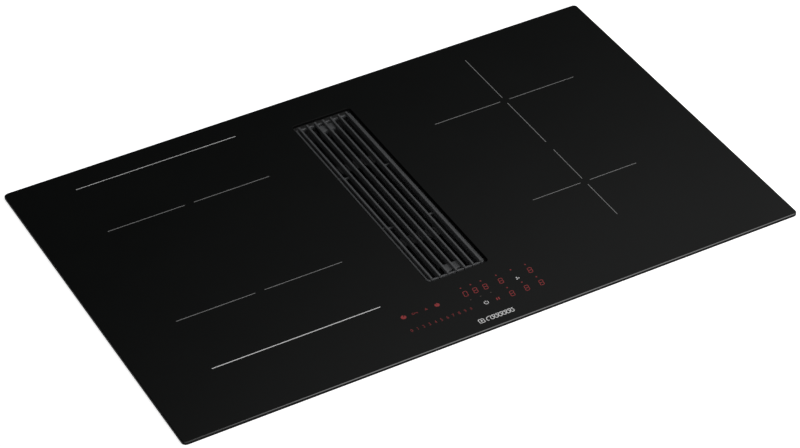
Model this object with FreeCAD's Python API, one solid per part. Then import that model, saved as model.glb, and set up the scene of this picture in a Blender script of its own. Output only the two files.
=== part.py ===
import FreeCAD, Part
import math
import os

from FreeCAD import Vector

# Built-in induction hob with a downdraft extractor in its middle. Millimetres.
# Frame: +X right, +Y to the rear, +Z up. The origin is the middle of the plane
# on which the glass's seal rests, which is the top of the worktop.

# ---------------------------------------------------------------- glass
GLASS_W = 830.0
GLASS_D = 520.0
GLASS_T = 4.0
GLASS_CORNER_R = 6.0
GLASS_ARRIS = 0.8
SEAL_T = 0.6
SEAL_W = 8.0
SEAL_INSET = 3.5

# ---------------------------------------------------------------- air intake in the glass
CUTOUT_W = 83.0
CUTOUT_L = 357.0
CUTOUT_R = 5.0
CUTOUT_ARRIS = 0.5
VENT_Y = 27.0

# ---------------------------------------------------------------- grille
GRILLE_SIDE_GAP = 2.2
GRILLE_END_GAP = 5.75
BAR_COUNT = 7
BAR_T = 2.6
BAR_H = 9.0
RIM_W = 2.6
RIM_T = 3.0
RIM_DROP = 3.4
RIM_TO_BAR = 1.5
GRILLE_R = 3.0
PAD_DROP = 0.6
WEB_DROP = 2.6
PAD_L = 12.5
WEB_T = 2.0
WEB_FROM_MIDDLE = 57.0

# ---------------------------------------------------------------- collar, filter and drip tray
COLLAR_LAND = 12.0
SEAT_GAP = 0.5
FILTER_SEAT_DROP = 6.2
FILTER_FLANGE_T = 1.5
FILTER_FLANGE_W = 2.7
FILTER_DEPTH = 22.0
FILTER_WALL = 1.2
FILTER_LIP = 3.0
FILTER_PACK_T = 8.0
FILTER_HOLE_ROWS = 5
FILTER_HOLE_COLUMNS = 26
FILTER_WEB = 2.2
STRAP_W = 16.0
STRAP_T = 1.2
POCKET_R = 3.0
LEDGE_T = 3.0
PLASTIC_T = 2.5
WELL_GAP = 1.0
WELL_BELOW_PORT = 3.0
WELL_HOPPER_H = 62.0
TRAY_L = 196.0
TRAY_H = 33.0
TRAY_WALL = 1.6
TRAY_CORNER_R = 6.0
TRAY_GAP = 1.5
TRAY_GRIP_W = 22.0
TRAY_GRIP_DROP = 8.0

# ---------------------------------------------------------------- steel pan and rails
PAN_W = 780.0
PAN_D = 486.0
PAN_H = 52.0
PAN_T = 1.0
PAN_CORNER_R = 5.0
PAN_BEND_R = 3.0
PAN_TOP_GAP = 0.5
RAIL_T = 1.5
RAIL_LEG = 12.0
RAIL_DEPTH = 14.0
RAIL_END_GAP = 34.0
RAIL_SCREWS = 5
SCREW_R = 2.0
SCREW_HOLE_GAP = 0.2
SCREW_HEAD_R = 3.8
SCREW_HEAD_H = 2.4
SCREW_HEAD_ROUND = 1.0
SCREW_L = 4.8
LOUVRE_W = 4.0
LOUVRE_PITCH = 10.0
VENT_RISE = 8.0
VENT_DROP = 20.0
WELL_HOLE_GAP = 2.0

# ---------------------------------------------------------------- cooking zones
FLEX_X = -222.0
FLEX_Y = 30.7
FLEX_PITCH = 193.0
ROUND_X = 222.5
REAR_ROUND_Y = 119.0
FRONT_ROUND_Y = -77.0
FLEX_COIL_W = 204.0
FLEX_COIL_GAP = 17.0
FLEX_COIL_R = 46.0
FLEX_COIL_INNER_R = 8.0
REAR_COIL_D = 200.0
FRONT_COIL_D = 146.0
COIL_EYE_D = 52.0
MICA_T = 0.5
WINDING_T = 3.3
STRAND_H = 1.0
STRAND_PITCH = 6.4
STRAND_GAP = 0.8
CARRIER_T = 4.0
CARRIER_BORDER = 4.0
FERRITE_T = 5.0
FERRITE_W = 12.0
FERRITE_EDGE = 8.0
CARRIER_FOOT_R = 4.0
COIL_FOOT_GAP = 3.6
SENSOR_R = 9.0
SENSOR_STEM_R = 3.0
SENSOR_LIFT = 1.0
LEAD_HOLE_R = 5.0
PLATE_T = 1.5
PLATE_FLANGE = 6.0
PLATE_INNER_GAP = 7.0
PLATE_OUTER_GAP = 16.0
PLATE_FRONT_GAP = 80.0
PLATE_REAR_GAP = 16.0
SPRING_R = 5.5
SPRING_WIRE_R = 0.7
SPRING_TURNS = 5
SPRING_INSET = 12.0

# ---------------------------------------------------------------- electronics
BOARD_T = 1.6
STANDOFF_H = 4.4
BOARD_W = 226.0
BOARD_D = 250.0
BOARD_TERMINAL_GAP = 4.0
BOARD_REAR_GAP = 36.0
HEATSINK_W = 66.0
HEATSINK_L = 150.0
HEATSINK_H = 23.0
HEATSINK_BASE = 5.0
FIN_COUNT = 9
FIN_T = 1.6
FAN_SIZE = 78.0
FAN_H = 24.0
FAN_WALL = 2.0
FAN_FRONT_GAP = 6.0
FAN_INLET_R = 24.0
FAN_BORE_R = 1.5
FAN_ROTOR_R = 31.0
FAN_HUB_R = 13.0
FAN_BLADES = 21
FAN_BLADE_T = 1.0
FAN_BLADE_L = 9.0
FAN_TIP_INSET = 0.5
SPIN_GAP = 0.05
TERMINAL_W = 56.0
TERMINAL_D = 24.0
TERMINAL_H = 20.0
TERMINAL_SIDE_GAP = 2.0
CLAMP_SCREWS = 6
INLET_R = 7.0
INLET_LIP = 4.0
INLET_L = 14.0
INLET_WALL = 3.0
INLET_FLANGE_T = 2.5
INLET_RISE = 7.0
TERMINAL_GAP = 14.0
WIRE_WAY_R = 2.6
POST_R = 4.0
POST_PIN_R = 1.6
POST_PIN_OUT = 2.0
POST_INSET = 7.0
HEATSINK_FRONT = 14.0
PART_INSET = 34.0
PART_PITCH = 38.0
PART_ROWS = 4
FILM_W = 28.0
FILM_D = 16.0
FILM_H = 20.0
ELCO_R = 11.0
ELCO_H = 21.0
CHOKE_R = 17.0
CHOKE_H = 16.0
FAN_TOP_GAP = 2.0
FAN_PIN_L = 12.0

# ---------------------------------------------------------------- touch control
CONTROL_X = -12.0
CONTROL_W = 204.0
CONTROL_D = 58.0
CONTROL_H = 14.5
CONTROL_WALL = 1.6
CONTROL_FRONT_GAP = 2.0
CONTROL_BOARD_DROP = 8.0
DIGIT_W = 8.0
DIGIT_D = 12.0
DIGIT_REAR_Y = -192.0
DIGIT_FRONT_Y = -218.0
TIMER_PITCH = 13.6
LEVEL_X = 35.0
LEVEL_PITCH = 20.0
SLIDER_X = -100.5
SLIDER_PITCH = 8.0
SLIDER_KEYS = 11
ICON_X = -97.5
ICON_PITCH = 15.0
ICON_KEYS = 4
TOUCH_R = 2.8
TOUCH_WALL = 0.6
DIGIT_MIDDLE_X = 0.0
FAN_KEY_Y = -197.0
CHIP_W = 14.0
CHIP_T = 1.5
RIBBON_W = 14.0
RIBBON_T = 1.2
GLASS_CONTACT_GAP = 0.2

# ---------------------------------------------------------------- extractor blower
PORT_H = 31.0
MOULD_R = 2.0
TIGHT_R = 0.5
JOINT_FLANGE = 7.0
PLENUM_DROP = 1.0
PLENUM_H = 39.0
PLENUM_MARGIN = 24.0
PORT_MARGIN = 8.0
SCROLL_Y = 20.0
SCROLL_H = 90.0
TONGUE_GAP = 12.0
SCROLL_SPREAD = 45.0
TONGUE_DEG = 60.0
SCROLL_GAP = 6.0
SCROLL_FLANGE = 9.0
SCROLL_OUT_L = 126.0
SCROLL_STEPS = 20
SCROLL_SCREWS = 7
SCROLL_FIRST_SCREW_DEG = 115.0
INLET_RING_R = 58.0
INLET_RING_ROLL = 7.0
IMPELLER_R = 78.0
IMPELLER_IN_R = 63.0
IMPELLER_TIP_INSET = 1.0
IMPELLER_H = 66.0
IMPELLER_DISC_T = 2.0
IMPELLER_BLADES = 36
IMPELLER_BLADE_T = 1.4
IMPELLER_LEAN_DEG = 9.0
IMPELLER_RING_W = 6.0
HUB_R = 14.0
HUB_H = 14.0
SHAFT_R = 4.0
MOTOR_R = 45.0
MOTOR_H = 23.0
MOTOR_HOLE_GAP = 4.0
MOTOR_FIN_COUNT = 18
MOTOR_GROOVE_W = 3.0
MOTOR_GROOVE_R0 = 22.5
MOTOR_GROOVE_R1 = 40.5
MOTOR_GROOVE_DEPTH = 6.0
SHAFT_END_GAP = 4.0
IMPELLER_FLOOR_GAP = 6.0
IMPELLER_MOTOR_GAP = 1.0
BUSH_R = 6.0
BUSH_H = 4.0
BUSH_CIRCLE_R = 66.0
BUSH_DEGREES = (90, 210, 330)
BRACKET_T = 2.0
BRACKET_RING_W = 9.0
DUCT_W = 222.0
DUCT_H = 89.0
DUCT_COLLAR_L = 30.0
DUCT_SPREAD_L = 78.0
DUCT_WALL = 2.0

# ---------------------------------------------------------------- side springs
CLIP_W = 30.0
CLIP_T = 0.8
CLIP_H = 34.0
CLIP_BULGE = 5.0
CLIP_Y = 150.0
CLIP_TOP_Z = -13.0

# ---------------------------------------------------------------- heights
glass_z0 = SEAL_T
glass_z1 = glass_z0 + GLASS_T
rim_top_z = glass_z1 - RIM_DROP
rim_z = rim_top_z - RIM_T
bar_z = glass_z1 - BAR_H
filter_seat_z = rim_z - FILTER_SEAT_DROP
collar_z = filter_seat_z - LEDGE_T
well_flange_z = collar_z - PLASTIC_T
pan_z = -PAN_H
pan_floor_z = pan_z + PAN_T
winding_z1 = glass_z0 - MICA_T
winding_z0 = winding_z1 - WINDING_T - STRAND_H
carrier_z = winding_z0 - CARRIER_T
ferrite_z = carrier_z - FERRITE_T
plate_z1 = ferrite_z - COIL_FOOT_GAP
plate_z0 = plate_z1 - PLATE_T
board_z0 = pan_floor_z + STANDOFF_H
board_z1 = board_z0 + BOARD_T
control_board_z = glass_z0 - CONTROL_BOARD_DROP
rail_screw_z = glass_z0 - RAIL_DEPTH + SCREW_HEAD_R
inlet_z = pan_floor_z + TERMINAL_H / 2 + INLET_RISE
wire_way_z = pan_floor_z + TERMINAL_H / 2
vent_z1 = -VENT_DROP
fan_pin_z = pan_floor_z + FAN_H - FAN_WALL - FAN_PIN_L
plenum_z1 = pan_z - PLENUM_DROP
plenum_z0 = plenum_z1 - PLENUM_H
well_straight_z = plenum_z0 - WELL_BELOW_PORT
tray_throat_z = well_straight_z - WELL_HOPPER_H
well_floor_z = tray_throat_z - TRAY_H - TRAY_GAP
well_z = well_floor_z - PLASTIC_T
scroll_top_z = plenum_z0 - PLASTIC_T
scroll_z0 = plenum_z0 - SCROLL_H
scroll_floor_z = scroll_z0 + PLASTIC_T
impeller_z0 = scroll_floor_z + IMPELLER_FLOOR_GAP
impeller_blade_z = impeller_z0 + IMPELLER_DISC_T
impeller_z1 = impeller_blade_z + IMPELLER_H
motor_z1 = impeller_z0 - IMPELLER_MOTOR_GAP
motor_z0 = motor_z1 - MOTOR_H

# ---------------------------------------------------------------- plan sizes that follow
grille_w = CUTOUT_W - 2 * GRILLE_SIDE_GAP
grille_l = CUTOUT_L - 2 * GRILLE_END_GAP
rim_in_w = grille_w - 2 * RIM_W
rim_in_l = grille_l - 2 * RIM_W
bar_pitch = (rim_in_w - 2 * RIM_TO_BAR - BAR_T) / (BAR_COUNT - 1)
pocket_w = rim_in_w - 2 * SEAT_GAP
pocket_l = rim_in_l - 2 * SEAT_GAP
bar_hang_l = pocket_l - 2 * POCKET_R
flange_w = pocket_w - 2 * SEAT_GAP
flange_l = pocket_l - 2 * SEAT_GAP
throat_w = flange_w - 2 * FILTER_FLANGE_W
throat_l = flange_l - 2 * FILTER_FLANGE_W
basket_w = throat_w - 2 * SEAT_GAP
basket_l = throat_l - 2 * SEAT_GAP
collar_w = CUTOUT_W + 2 * COLLAR_LAND
collar_l = CUTOUT_L + 2 * COLLAR_LAND
well_in_w = throat_w + 2 * WELL_GAP
well_in_l = throat_l + 2 * WELL_GAP
well_out_w = well_in_w + 2 * PLASTIC_T
well_out_l = well_in_l + 2 * PLASTIC_T
tray_w = throat_w - 2 * TRAY_GAP
tray_place_l = TRAY_L + 2 * TRAY_GAP
pan_in_y = PAN_D / 2 - PAN_T
flex_coil_d = FLEX_PITCH - FLEX_COIL_GAP
scroll_r0 = IMPELLER_R + TONGUE_GAP
scroll_r1 = scroll_r0 + SCROLL_SPREAD
scroll_growth = SCROLL_SPREAD / (2 * math.pi - math.radians(TONGUE_DEG))
scroll_left_r = scroll_r0 + scroll_growth * math.radians(180 - TONGUE_DEG)
scroll_x = well_out_w / 2 + SCROLL_GAP + SCROLL_FLANGE + PLASTIC_T + scroll_left_r
plenum_y0 = SCROLL_Y - INLET_RING_R - PLENUM_MARGIN
plenum_y1 = SCROLL_Y + INLET_RING_R + PLENUM_MARGIN
plenum_x1 = scroll_x + INLET_RING_R + PLENUM_MARGIN
scroll_out_y = SCROLL_Y + SCROLL_OUT_L
scroll_out_x0 = scroll_x + scroll_r0 * math.cos(math.radians(TONGUE_DEG))
scroll_out_x1 = scroll_x + scroll_r1
outlet_x = (scroll_out_x0 + scroll_out_x1) / 2
spigot_y = scroll_out_y + DUCT_SPREAD_L
control_y0 = -pan_in_y + RAIL_LEG + CONTROL_FRONT_GAP
control_y = control_y0 + CONTROL_D / 2
plate_front_y = -PAN_D / 2 + PLATE_FRONT_GAP
plate_rear_y = PAN_D / 2 - PLATE_REAR_GAP
plate_inner_x = collar_w / 2 + PLATE_INNER_GAP
plate_outer_x = PAN_W / 2 - PLATE_OUTER_GAP
terminal_x = -(plate_inner_x + SPRING_INSET + SPRING_R + TERMINAL_SIDE_GAP + TERMINAL_W / 2)
board_x = -terminal_x + TERMINAL_W / 2 + BOARD_TERMINAL_GAP + BOARD_W / 2
board_rear_y = PAN_D / 2 - BOARD_REAR_GAP
board_front_y = board_rear_y - BOARD_D
fan_y = board_front_y - FAN_FRONT_GAP - FAN_SIZE / 2


# ================================================================ shape helpers
def slab(x0, x1, y0, y1, z0, z1):
    """A box between two corners."""
    return Part.makeBox(x1 - x0, y1 - y0, z1 - z0, Vector(x0, y0, z0))


def block(x, y, w, d, z0, z1):
    """A box centred on x, y."""
    return slab(x - w / 2, x + w / 2, y - d / 2, y + d / 2, z0, z1)


def disc(x, y, r, z0, z1):
    """An upright cylinder."""
    return Part.makeCylinder(r, z1 - z0, Vector(x, y, z0))


def ring(x, y, r_out, r_in, z0, z1):
    """An upright tube."""
    return disc(x, y, r_out, z0, z1).cut(disc(x, y, r_in, z0, z1))


def rounded_wire(x, y, w, d, r, z):
    """A rectangle with arcs of radius r at its corners."""
    edges = []
    corners = [(1, 1, 0), (-1, 1, 90), (-1, -1, 180), (1, -1, 270)]
    centres = [Vector(x + sx * (w / 2 - r), y + sy * (d / 2 - r), z) for sx, sy, _ in corners]
    for n, (_, _, start) in enumerate(corners):
        arc = Part.makeCircle(r, centres[n], Vector(0, 0, 1), start, start + 90)
        edges.append(arc)
        turn = math.radians(start + 90)
        edge_out = Vector(math.cos(turn), math.sin(turn), 0) * r
        p = centres[n] + edge_out
        q = centres[(n + 1) % 4] + edge_out
        edges.append(Part.makeLine(p, q))
    return Part.Wire(Part.__sortEdges__(edges))


def rounded(x, y, w, d, r, z0, z1):
    """An upright prism on a rounded rectangle."""
    return Part.Face(rounded_wire(x, y, w, d, r, z0)).extrude(Vector(0, 0, z1 - z0))


def rounded_ring(x, y, w, d, r, border, z0, z1):
    """A rounded rectangle with a parallel hole, so its wall is border wide."""
    inner_r = max(r - border, TIGHT_R)
    hole = rounded(x, y, w - 2 * border, d - 2 * border, inner_r, z0, z1)
    return rounded(x, y, w, d, r, z0, z1).cut(hole)


def joined(shapes):
    """One solid from touching or overlapping ones."""
    return shapes[0].multiFuse(shapes[1:]).removeSplitter()


def prism_along_x(points, x0, x1):
    """A closed outline of (y, z) points carried from x0 to x1."""
    corners = [Vector(x0, y, z) for y, z in points]
    return Part.Face(Part.makePolygon(corners + corners[:1])).extrude(Vector(x1 - x0, 0, 0))


def turned(shape, x, y, degrees):
    """A copy turned about the upright line through x, y."""
    copy = shape.copy()
    copy.rotate(Vector(x, y, 0), Vector(0, 0, 1), degrees)
    return copy


def mirrored_x(shape):
    """The same shape on the other side of the middle."""
    return shape.mirror(Vector(0, 0, 0), Vector(1, 0, 0))


def screw(x, y, z, direction, length):
    """A pan-head screw: its head's underside at the point, its shank along direction."""
    shank = Part.makeCylinder(SCREW_R, length, Vector(x, y, z), direction)
    head = Part.makeCylinder(SCREW_HEAD_R, SCREW_HEAD_H, Vector(x, y, z), direction * -1)
    rim = [e for e in head.Edges if (e.CenterOfMass - Vector(x, y, z)).Length > SCREW_HEAD_H / 2
           and e.Curve.TypeId == "Part::GeomCircle"]
    head = head.makeFillet(SCREW_HEAD_ROUND, rim)
    return joined([head, shank])


def save(name, shapes):
    """Writes one sub-part: one solid, or a group of separate ones."""
    shapes = shapes if isinstance(shapes, list) else [shapes]
    solids = [s for shape in shapes for s in shape.Solids]
    for s in solids:
        if not s.isValid() or s.Volume <= 0:
            raise ValueError(name + " has a bad solid")
    whole = solids[0] if len(solids) == 1 else Part.makeCompound(solids)
    whole.exportStep("parts/" + name + ".step")
    print(name, len(solids), round(sum(s.Volume for s in solids) / 1000, 2))


# ================================================================ glass and what holds it
def glass_top():
    """Glass-ceramic plate, its top arris ground round the rim and round the intake."""
    plate = rounded(0, 0, GLASS_W, GLASS_D, GLASS_CORNER_R, glass_z0, glass_z1)
    plate = plate.makeChamfer(GLASS_ARRIS, [e for e in plate.Edges if e.BoundBox.ZMin > glass_z0 + GLASS_T / 2])
    narrow = rounded_wire(0, VENT_Y, CUTOUT_W, CUTOUT_L, CUTOUT_R, glass_z1 - CUTOUT_ARRIS)
    wide = rounded_wire(0, VENT_Y, CUTOUT_W + 2 * CUTOUT_ARRIS, CUTOUT_L + 2 * CUTOUT_ARRIS,
                        CUTOUT_R + CUTOUT_ARRIS, glass_z1)
    flare = Part.makeLoft([narrow, wide], True, True)
    hole = rounded(0, VENT_Y, CUTOUT_W, CUTOUT_L, CUTOUT_R, glass_z0, glass_z1)
    return plate.cut(hole).cut(flare)


def worktop_seal():
    """Foam strip under the glass's border, pressed thin by the worktop."""
    return rounded_ring(0, 0, GLASS_W - 2 * SEAL_INSET, GLASS_D - 2 * SEAL_INSET,
                        GLASS_CORNER_R, SEAL_W, 0, SEAL_T)


def rail(length, wall):
    """Folded steel angle along X, bonded under the glass against a pan wall at y = wall."""
    flat = slab(-length / 2, length / 2, wall - RAIL_LEG, wall, glass_z0 - RAIL_T, glass_z0)
    upright = slab(-length / 2, length / 2, wall - RAIL_T, wall, glass_z0 - RAIL_DEPTH, glass_z0)
    angle = joined([flat, upright])
    for x in rail_screw_places(length):
        hole = Part.makeCylinder(SCREW_R + SCREW_HOLE_GAP, RAIL_T, Vector(x, wall - RAIL_T, rail_screw_z),
                                 Vector(0, 1, 0))
        angle = angle.cut(hole)
    return angle


def rail_screw_places(length):
    """Evenly spaced places along a rail."""
    step = length / RAIL_SCREWS
    return [step * (n + 0.5) - length / 2 for n in range(RAIL_SCREWS)]


def rail_sides():
    """Length, wall distance and turn of the four rails."""
    long_rail = PAN_W - 2 * RAIL_END_GAP
    side_rail = PAN_D - 2 * RAIL_END_GAP
    return [(long_rail, PAN_D / 2, 0), (side_rail, PAN_W / 2, 90),
            (long_rail, PAN_D / 2, 180), (side_rail, PAN_W / 2, 270)]


def glass_rails():
    """The four angles that join the glass to the pan."""
    return [turned(rail(length, edge - PAN_T), 0, 0, turn) for length, edge, turn in rail_sides()]


def panhead_screws():
    """Like screws: through the pan's walls into the rails, and up through the scroll's flange."""
    screws = []
    for length, edge, turn in rail_sides():
        for x in rail_screw_places(length):
            one = screw(x, edge, rail_screw_z, Vector(0, -1, 0), SCREW_L)
            screws.append(turned(one, 0, 0, turn))
    flange_z = scroll_top_z - PLASTIC_T
    return screws + [screw(x, y, flange_z, Vector(0, 0, 1), SCREW_L) for x, y in scroll_screw_places()]


# ================================================================ steel pan
def louvres(x0, x1, y0, y1, z0, z1):
    """A row of slots along X, each running from y0 to y1."""
    count = int((x1 - x0) // LOUVRE_PITCH)
    margin = (x1 - x0 - (count - 1) * LOUVRE_PITCH) / 2
    middles = [x0 + margin + n * LOUVRE_PITCH for n in range(count)]
    return Part.makeCompound([slab(x - LOUVRE_W / 2, x + LOUVRE_W / 2, y0, y1, z0, z1) for x in middles])


def whole_pan():
    """Folded sheet steel pan that carries the electronics, vented front, rear and below."""
    pan = rounded(0, 0, PAN_W, PAN_D, PAN_CORNER_R, pan_z, -PAN_TOP_GAP)
    pan = pan.makeFillet(PAN_BEND_R, [e for e in pan.Edges if e.BoundBox.ZMax < pan_z + PAN_T])
    inside = rounded(0, 0, PAN_W - 2 * PAN_T, PAN_D - 2 * PAN_T, PAN_CORNER_R - PAN_T, pan_floor_z, 0)
    floor_edges = [e for e in inside.Edges if e.BoundBox.ZMax < pan_floor_z + PAN_T]
    inside = inside.makeFillet(PAN_BEND_R - PAN_T, floor_edges)
    pan = pan.cut(inside)
    pan = pan.cut(block(0, VENT_Y, well_out_w + 2 * WELL_HOLE_GAP, well_out_l + 2 * WELL_HOLE_GAP,
                        pan_z, pan_floor_z))
    vent_x0 = board_x - BOARD_W / 2
    vent_x1 = board_x + BOARD_W / 2
    for place in (louvres(vent_x0, vent_x1, pan_in_y, PAN_D / 2, pan_floor_z + VENT_RISE, vent_z1),
                  louvres(vent_x0, vent_x1, -PAN_D / 2, -pan_in_y, pan_floor_z + VENT_RISE, vent_z1)):
        pan = pan.cut(place)
        pan = pan.cut(mirrored_x(place))
    for x in (-board_x, board_x):
        pan = pan.cut(disc(x, fan_y, FAN_INLET_R, pan_z, pan_floor_z))
    for length, edge, turn in rail_sides():
        for x in rail_screw_places(length):
            hole = Part.makeCylinder(SCREW_R + SCREW_HOLE_GAP, PAN_T, Vector(x, edge - PAN_T, rail_screw_z),
                                     Vector(0, 1, 0))
            pan = pan.cut(turned(hole, 0, 0, turn))
    inlet_start = Vector(terminal_x, pan_in_y, inlet_z)
    return pan.cut(Part.makeCylinder(INLET_R + INLET_WALL, PAN_T, inlet_start, Vector(0, 1, 0)))


def pan_sheets():
    """The pan's sheets, spot-welded edge to edge: left tray, right tray, bridges before and behind the well."""
    pan = whole_pan()
    half_well = well_out_w / 2 + WELL_HOLE_GAP
    left_room = slab(-PAN_W / 2, -half_well, -PAN_D / 2, PAN_D / 2, pan_z, 0)
    right_room = slab(half_well, PAN_W / 2, -PAN_D / 2, PAN_D / 2, pan_z, 0)
    return pan.common(left_room), pan.common(right_room), pan.cut(left_room).cut(right_room)


def side_springs():
    """Leaf springs that press on the sides of the worktop's opening."""
    outer = PAN_W / 2
    z1 = CLIP_TOP_Z
    z0 = z1 - CLIP_H
    bulge = Part.Arc(Vector(outer, 0, z0), Vector(outer + CLIP_BULGE, 0, (z0 + z1) / 2),
                     Vector(outer, 0, z1)).toShape()
    inner = Part.Arc(Vector(outer, 0, z1 - CLIP_T), Vector(outer + CLIP_BULGE - CLIP_T, 0, (z0 + z1) / 2),
                     Vector(outer, 0, z0 + CLIP_T)).toShape()
    top = Part.makeLine(Vector(outer, 0, z1), Vector(outer, 0, z1 - CLIP_T))
    bottom = Part.makeLine(Vector(outer, 0, z0 + CLIP_T), Vector(outer, 0, z0))
    leaf = Part.Face(Part.Wire([bulge, top, inner, bottom])).extrude(Vector(0, CLIP_W, 0))
    leaves = []
    for y in (-CLIP_Y, CLIP_Y):
        one = leaf.copy()
        one.translate(Vector(0, y - CLIP_W / 2, 0))
        leaves += [one, mirrored_x(one)]
    return leaves


def cable_inlet():
    """Flanged rubber sleeve in the pan's rear wall, where the supply lead goes in."""
    centre = Vector(terminal_x, PAN_D / 2, inlet_z)
    back = Vector(0, 1, 0)
    flange = Part.makeCylinder(INLET_R + INLET_WALL + INLET_LIP, INLET_FLANGE_T, centre, back)
    start = centre - back * PAN_T
    sleeve = Part.makeCylinder(INLET_R + INLET_WALL, INLET_L + PAN_T, start, back)
    inner_lip = Part.makeCylinder(INLET_R + INLET_WALL + INLET_LIP, INLET_FLANGE_T,
                                  start - back * INLET_FLANGE_T, back)
    bore = Part.makeCylinder(INLET_R, INLET_L + PAN_T + INLET_FLANGE_T, start - back * INLET_FLANGE_T, back)
    return joined([flange, sleeve, inner_lip]).cut(bore)


# ================================================================ intake: collar, grille, filter, tray
def intake_collar():
    """Die-cast frame bonded under the cut-out, with one ledge for the grille and one for the filter."""
    frame = rounded(0, VENT_Y, collar_w, collar_l, COLLAR_LAND, collar_z, glass_z0)
    frame = frame.cut(rounded(0, VENT_Y, CUTOUT_W, CUTOUT_L, CUTOUT_R, rim_z, glass_z0))
    frame = frame.cut(rounded(0, VENT_Y, pocket_w, pocket_l, POCKET_R, filter_seat_z, rim_z))
    return frame.cut(rounded(0, VENT_Y, throat_w, throat_l, POCKET_R, collar_z, filter_seat_z))


def bar_places():
    """Middles of the grille's bars."""
    half = (BAR_COUNT - 1) / 2
    return [(n - half) * bar_pitch for n in range(BAR_COUNT)]


def grille():
    """Lift-out grille: long bars flush with the glass, on a lower rim that rests on the collar."""
    rim = rounded(0, VENT_Y, grille_w, grille_l, GRILLE_R, rim_z, rim_top_z)
    rim = rim.cut(rounded(0, VENT_Y, rim_in_w, rim_in_l, POCKET_R, rim_z, rim_top_z))
    pieces = [rim]
    places = bar_places()
    for x in places:
        pieces.append(block(x, VENT_Y, BAR_T, grille_l, rim_z, glass_z1))
        pieces.append(block(x, VENT_Y, BAR_T, bar_hang_l, bar_z, rim_z))
    middle = BAR_COUNT // 2
    inner_x = places[middle + 1] + BAR_T / 2
    for end in (-1, 1):
        pad_y = VENT_Y + end * (bar_hang_l - PAD_L) / 2
        pieces.append(block(0, pad_y, 2 * inner_x, PAD_L, bar_z, rim_top_z - PAD_DROP))
        web_y = VENT_Y + end * WEB_FROM_MIDDLE
        for side in (-1, 1):
            web_x = side * (places[-1] + places[-2]) / 2
            pieces.append(block(web_x, web_y, bar_pitch, WEB_T, bar_z, rim_top_z - WEB_DROP))
            ear_x = side * (places[-1] + rim_in_w / 2 + RIM_W / 2) / 2
            ear_w = rim_in_w / 2 + RIM_W / 2 - places[-1]
            pieces.append(block(ear_x, web_y, ear_w, WEB_T, rim_z, rim_top_z))
    return joined(pieces)


def filter_frame():
    """Flanged sheet steel basket with a slotted floor and two lifting straps."""
    floor_z = filter_seat_z - FILTER_DEPTH
    flange = rounded(0, VENT_Y, flange_w, flange_l, POCKET_R, filter_seat_z, filter_seat_z + FILTER_FLANGE_T)
    body = rounded(0, VENT_Y, basket_w, basket_l, POCKET_R, floor_z, filter_seat_z)
    basket = joined([flange, body])
    inside_w = basket_w - 2 * FILTER_WALL
    inside_l = basket_l - 2 * FILTER_WALL
    basket = basket.cut(rounded(0, VENT_Y, inside_w, inside_l, POCKET_R - FILTER_WALL,
                                floor_z + FILTER_WALL, filter_seat_z + FILTER_FLANGE_T))
    cell_w = (inside_w - 2 * FILTER_LIP + FILTER_WEB) / FILTER_HOLE_COLUMNS
    cell_l = (inside_l - 2 * FILTER_LIP + FILTER_WEB) / FILTER_HOLE_ROWS
    holes = []
    for column in range(FILTER_HOLE_COLUMNS):
        for row in range(FILTER_HOLE_ROWS):
            x = (column - (FILTER_HOLE_COLUMNS - 1) / 2) * cell_w
            y = VENT_Y + (row - (FILTER_HOLE_ROWS - 1) / 2) * cell_l
            hole = block(x, y, cell_w - FILTER_WEB, cell_l - FILTER_WEB, floor_z, floor_z + FILTER_WALL)
            holes.append(hole)
    basket = basket.cut(Part.makeCompound(holes))
    straps = [block(0, VENT_Y + end * basket_l / 4, inside_w, STRAP_W, filter_seat_z - STRAP_T, filter_seat_z)
              for end in (-1, 1)]
    return joined([basket] + straps)


def filter_mesh():
    """Pack of pressed aluminium mesh lying in the basket."""
    floor_z = filter_seat_z - FILTER_DEPTH + FILTER_WALL
    margin = 2 * (FILTER_WALL + SEAT_GAP)
    return rounded(0, VENT_Y, basket_w - margin, basket_l - margin, POCKET_R - FILTER_WALL, floor_z,
                   floor_z + FILTER_PACK_T)


def drip_tray():
    """Moulded basin at the bottom of the well that catches spills, lifted out through the intake."""
    z0 = well_floor_z
    z1 = z0 + TRAY_H
    basin = rounded(0, VENT_Y, tray_w, TRAY_L, TRAY_CORNER_R, z0, z1)
    basin = basin.cut(rounded(0, VENT_Y, tray_w - 2 * TRAY_WALL, TRAY_L - 2 * TRAY_WALL,
                              TRAY_CORNER_R - TRAY_WALL, z0 + TRAY_WALL, z1))
    grip_z = z1 - TRAY_GRIP_DROP
    bridge = block(0, VENT_Y, tray_w - TRAY_WALL, TRAY_GRIP_W, grip_z - TRAY_WALL, grip_z)
    return joined([basin, bridge])


# ================================================================ well below the collar
def well_housing():
    """Upper well: a straight moulded box that hangs from the collar, open on its right to the blower."""
    outer = block(0, VENT_Y, well_out_w, well_out_l, well_straight_z, collar_z)
    outer = outer.makeFillet(MOULD_R, [e for e in outer.Edges if e.BoundBox.ZLength > PLENUM_H])
    flange = rounded(0, VENT_Y, collar_w, collar_l, COLLAR_LAND, well_flange_z, collar_z)
    joint = block(0, VENT_Y, well_in_w, well_out_l + 2 * JOINT_FLANGE, well_straight_z,
                  well_straight_z + PLASTIC_T)
    inner = block(0, VENT_Y, well_in_w, well_in_l, well_straight_z, collar_z)
    port = slab(well_in_w / 2, well_out_w / 2, plenum_y0 + PORT_MARGIN, plenum_y1 - PORT_MARGIN,
                plenum_z0 + (PLENUM_H - PORT_H) / 2, plenum_z1 - (PLENUM_H - PORT_H) / 2)
    return joined([outer, flange, joint]).cut(inner).cut(port)


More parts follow.
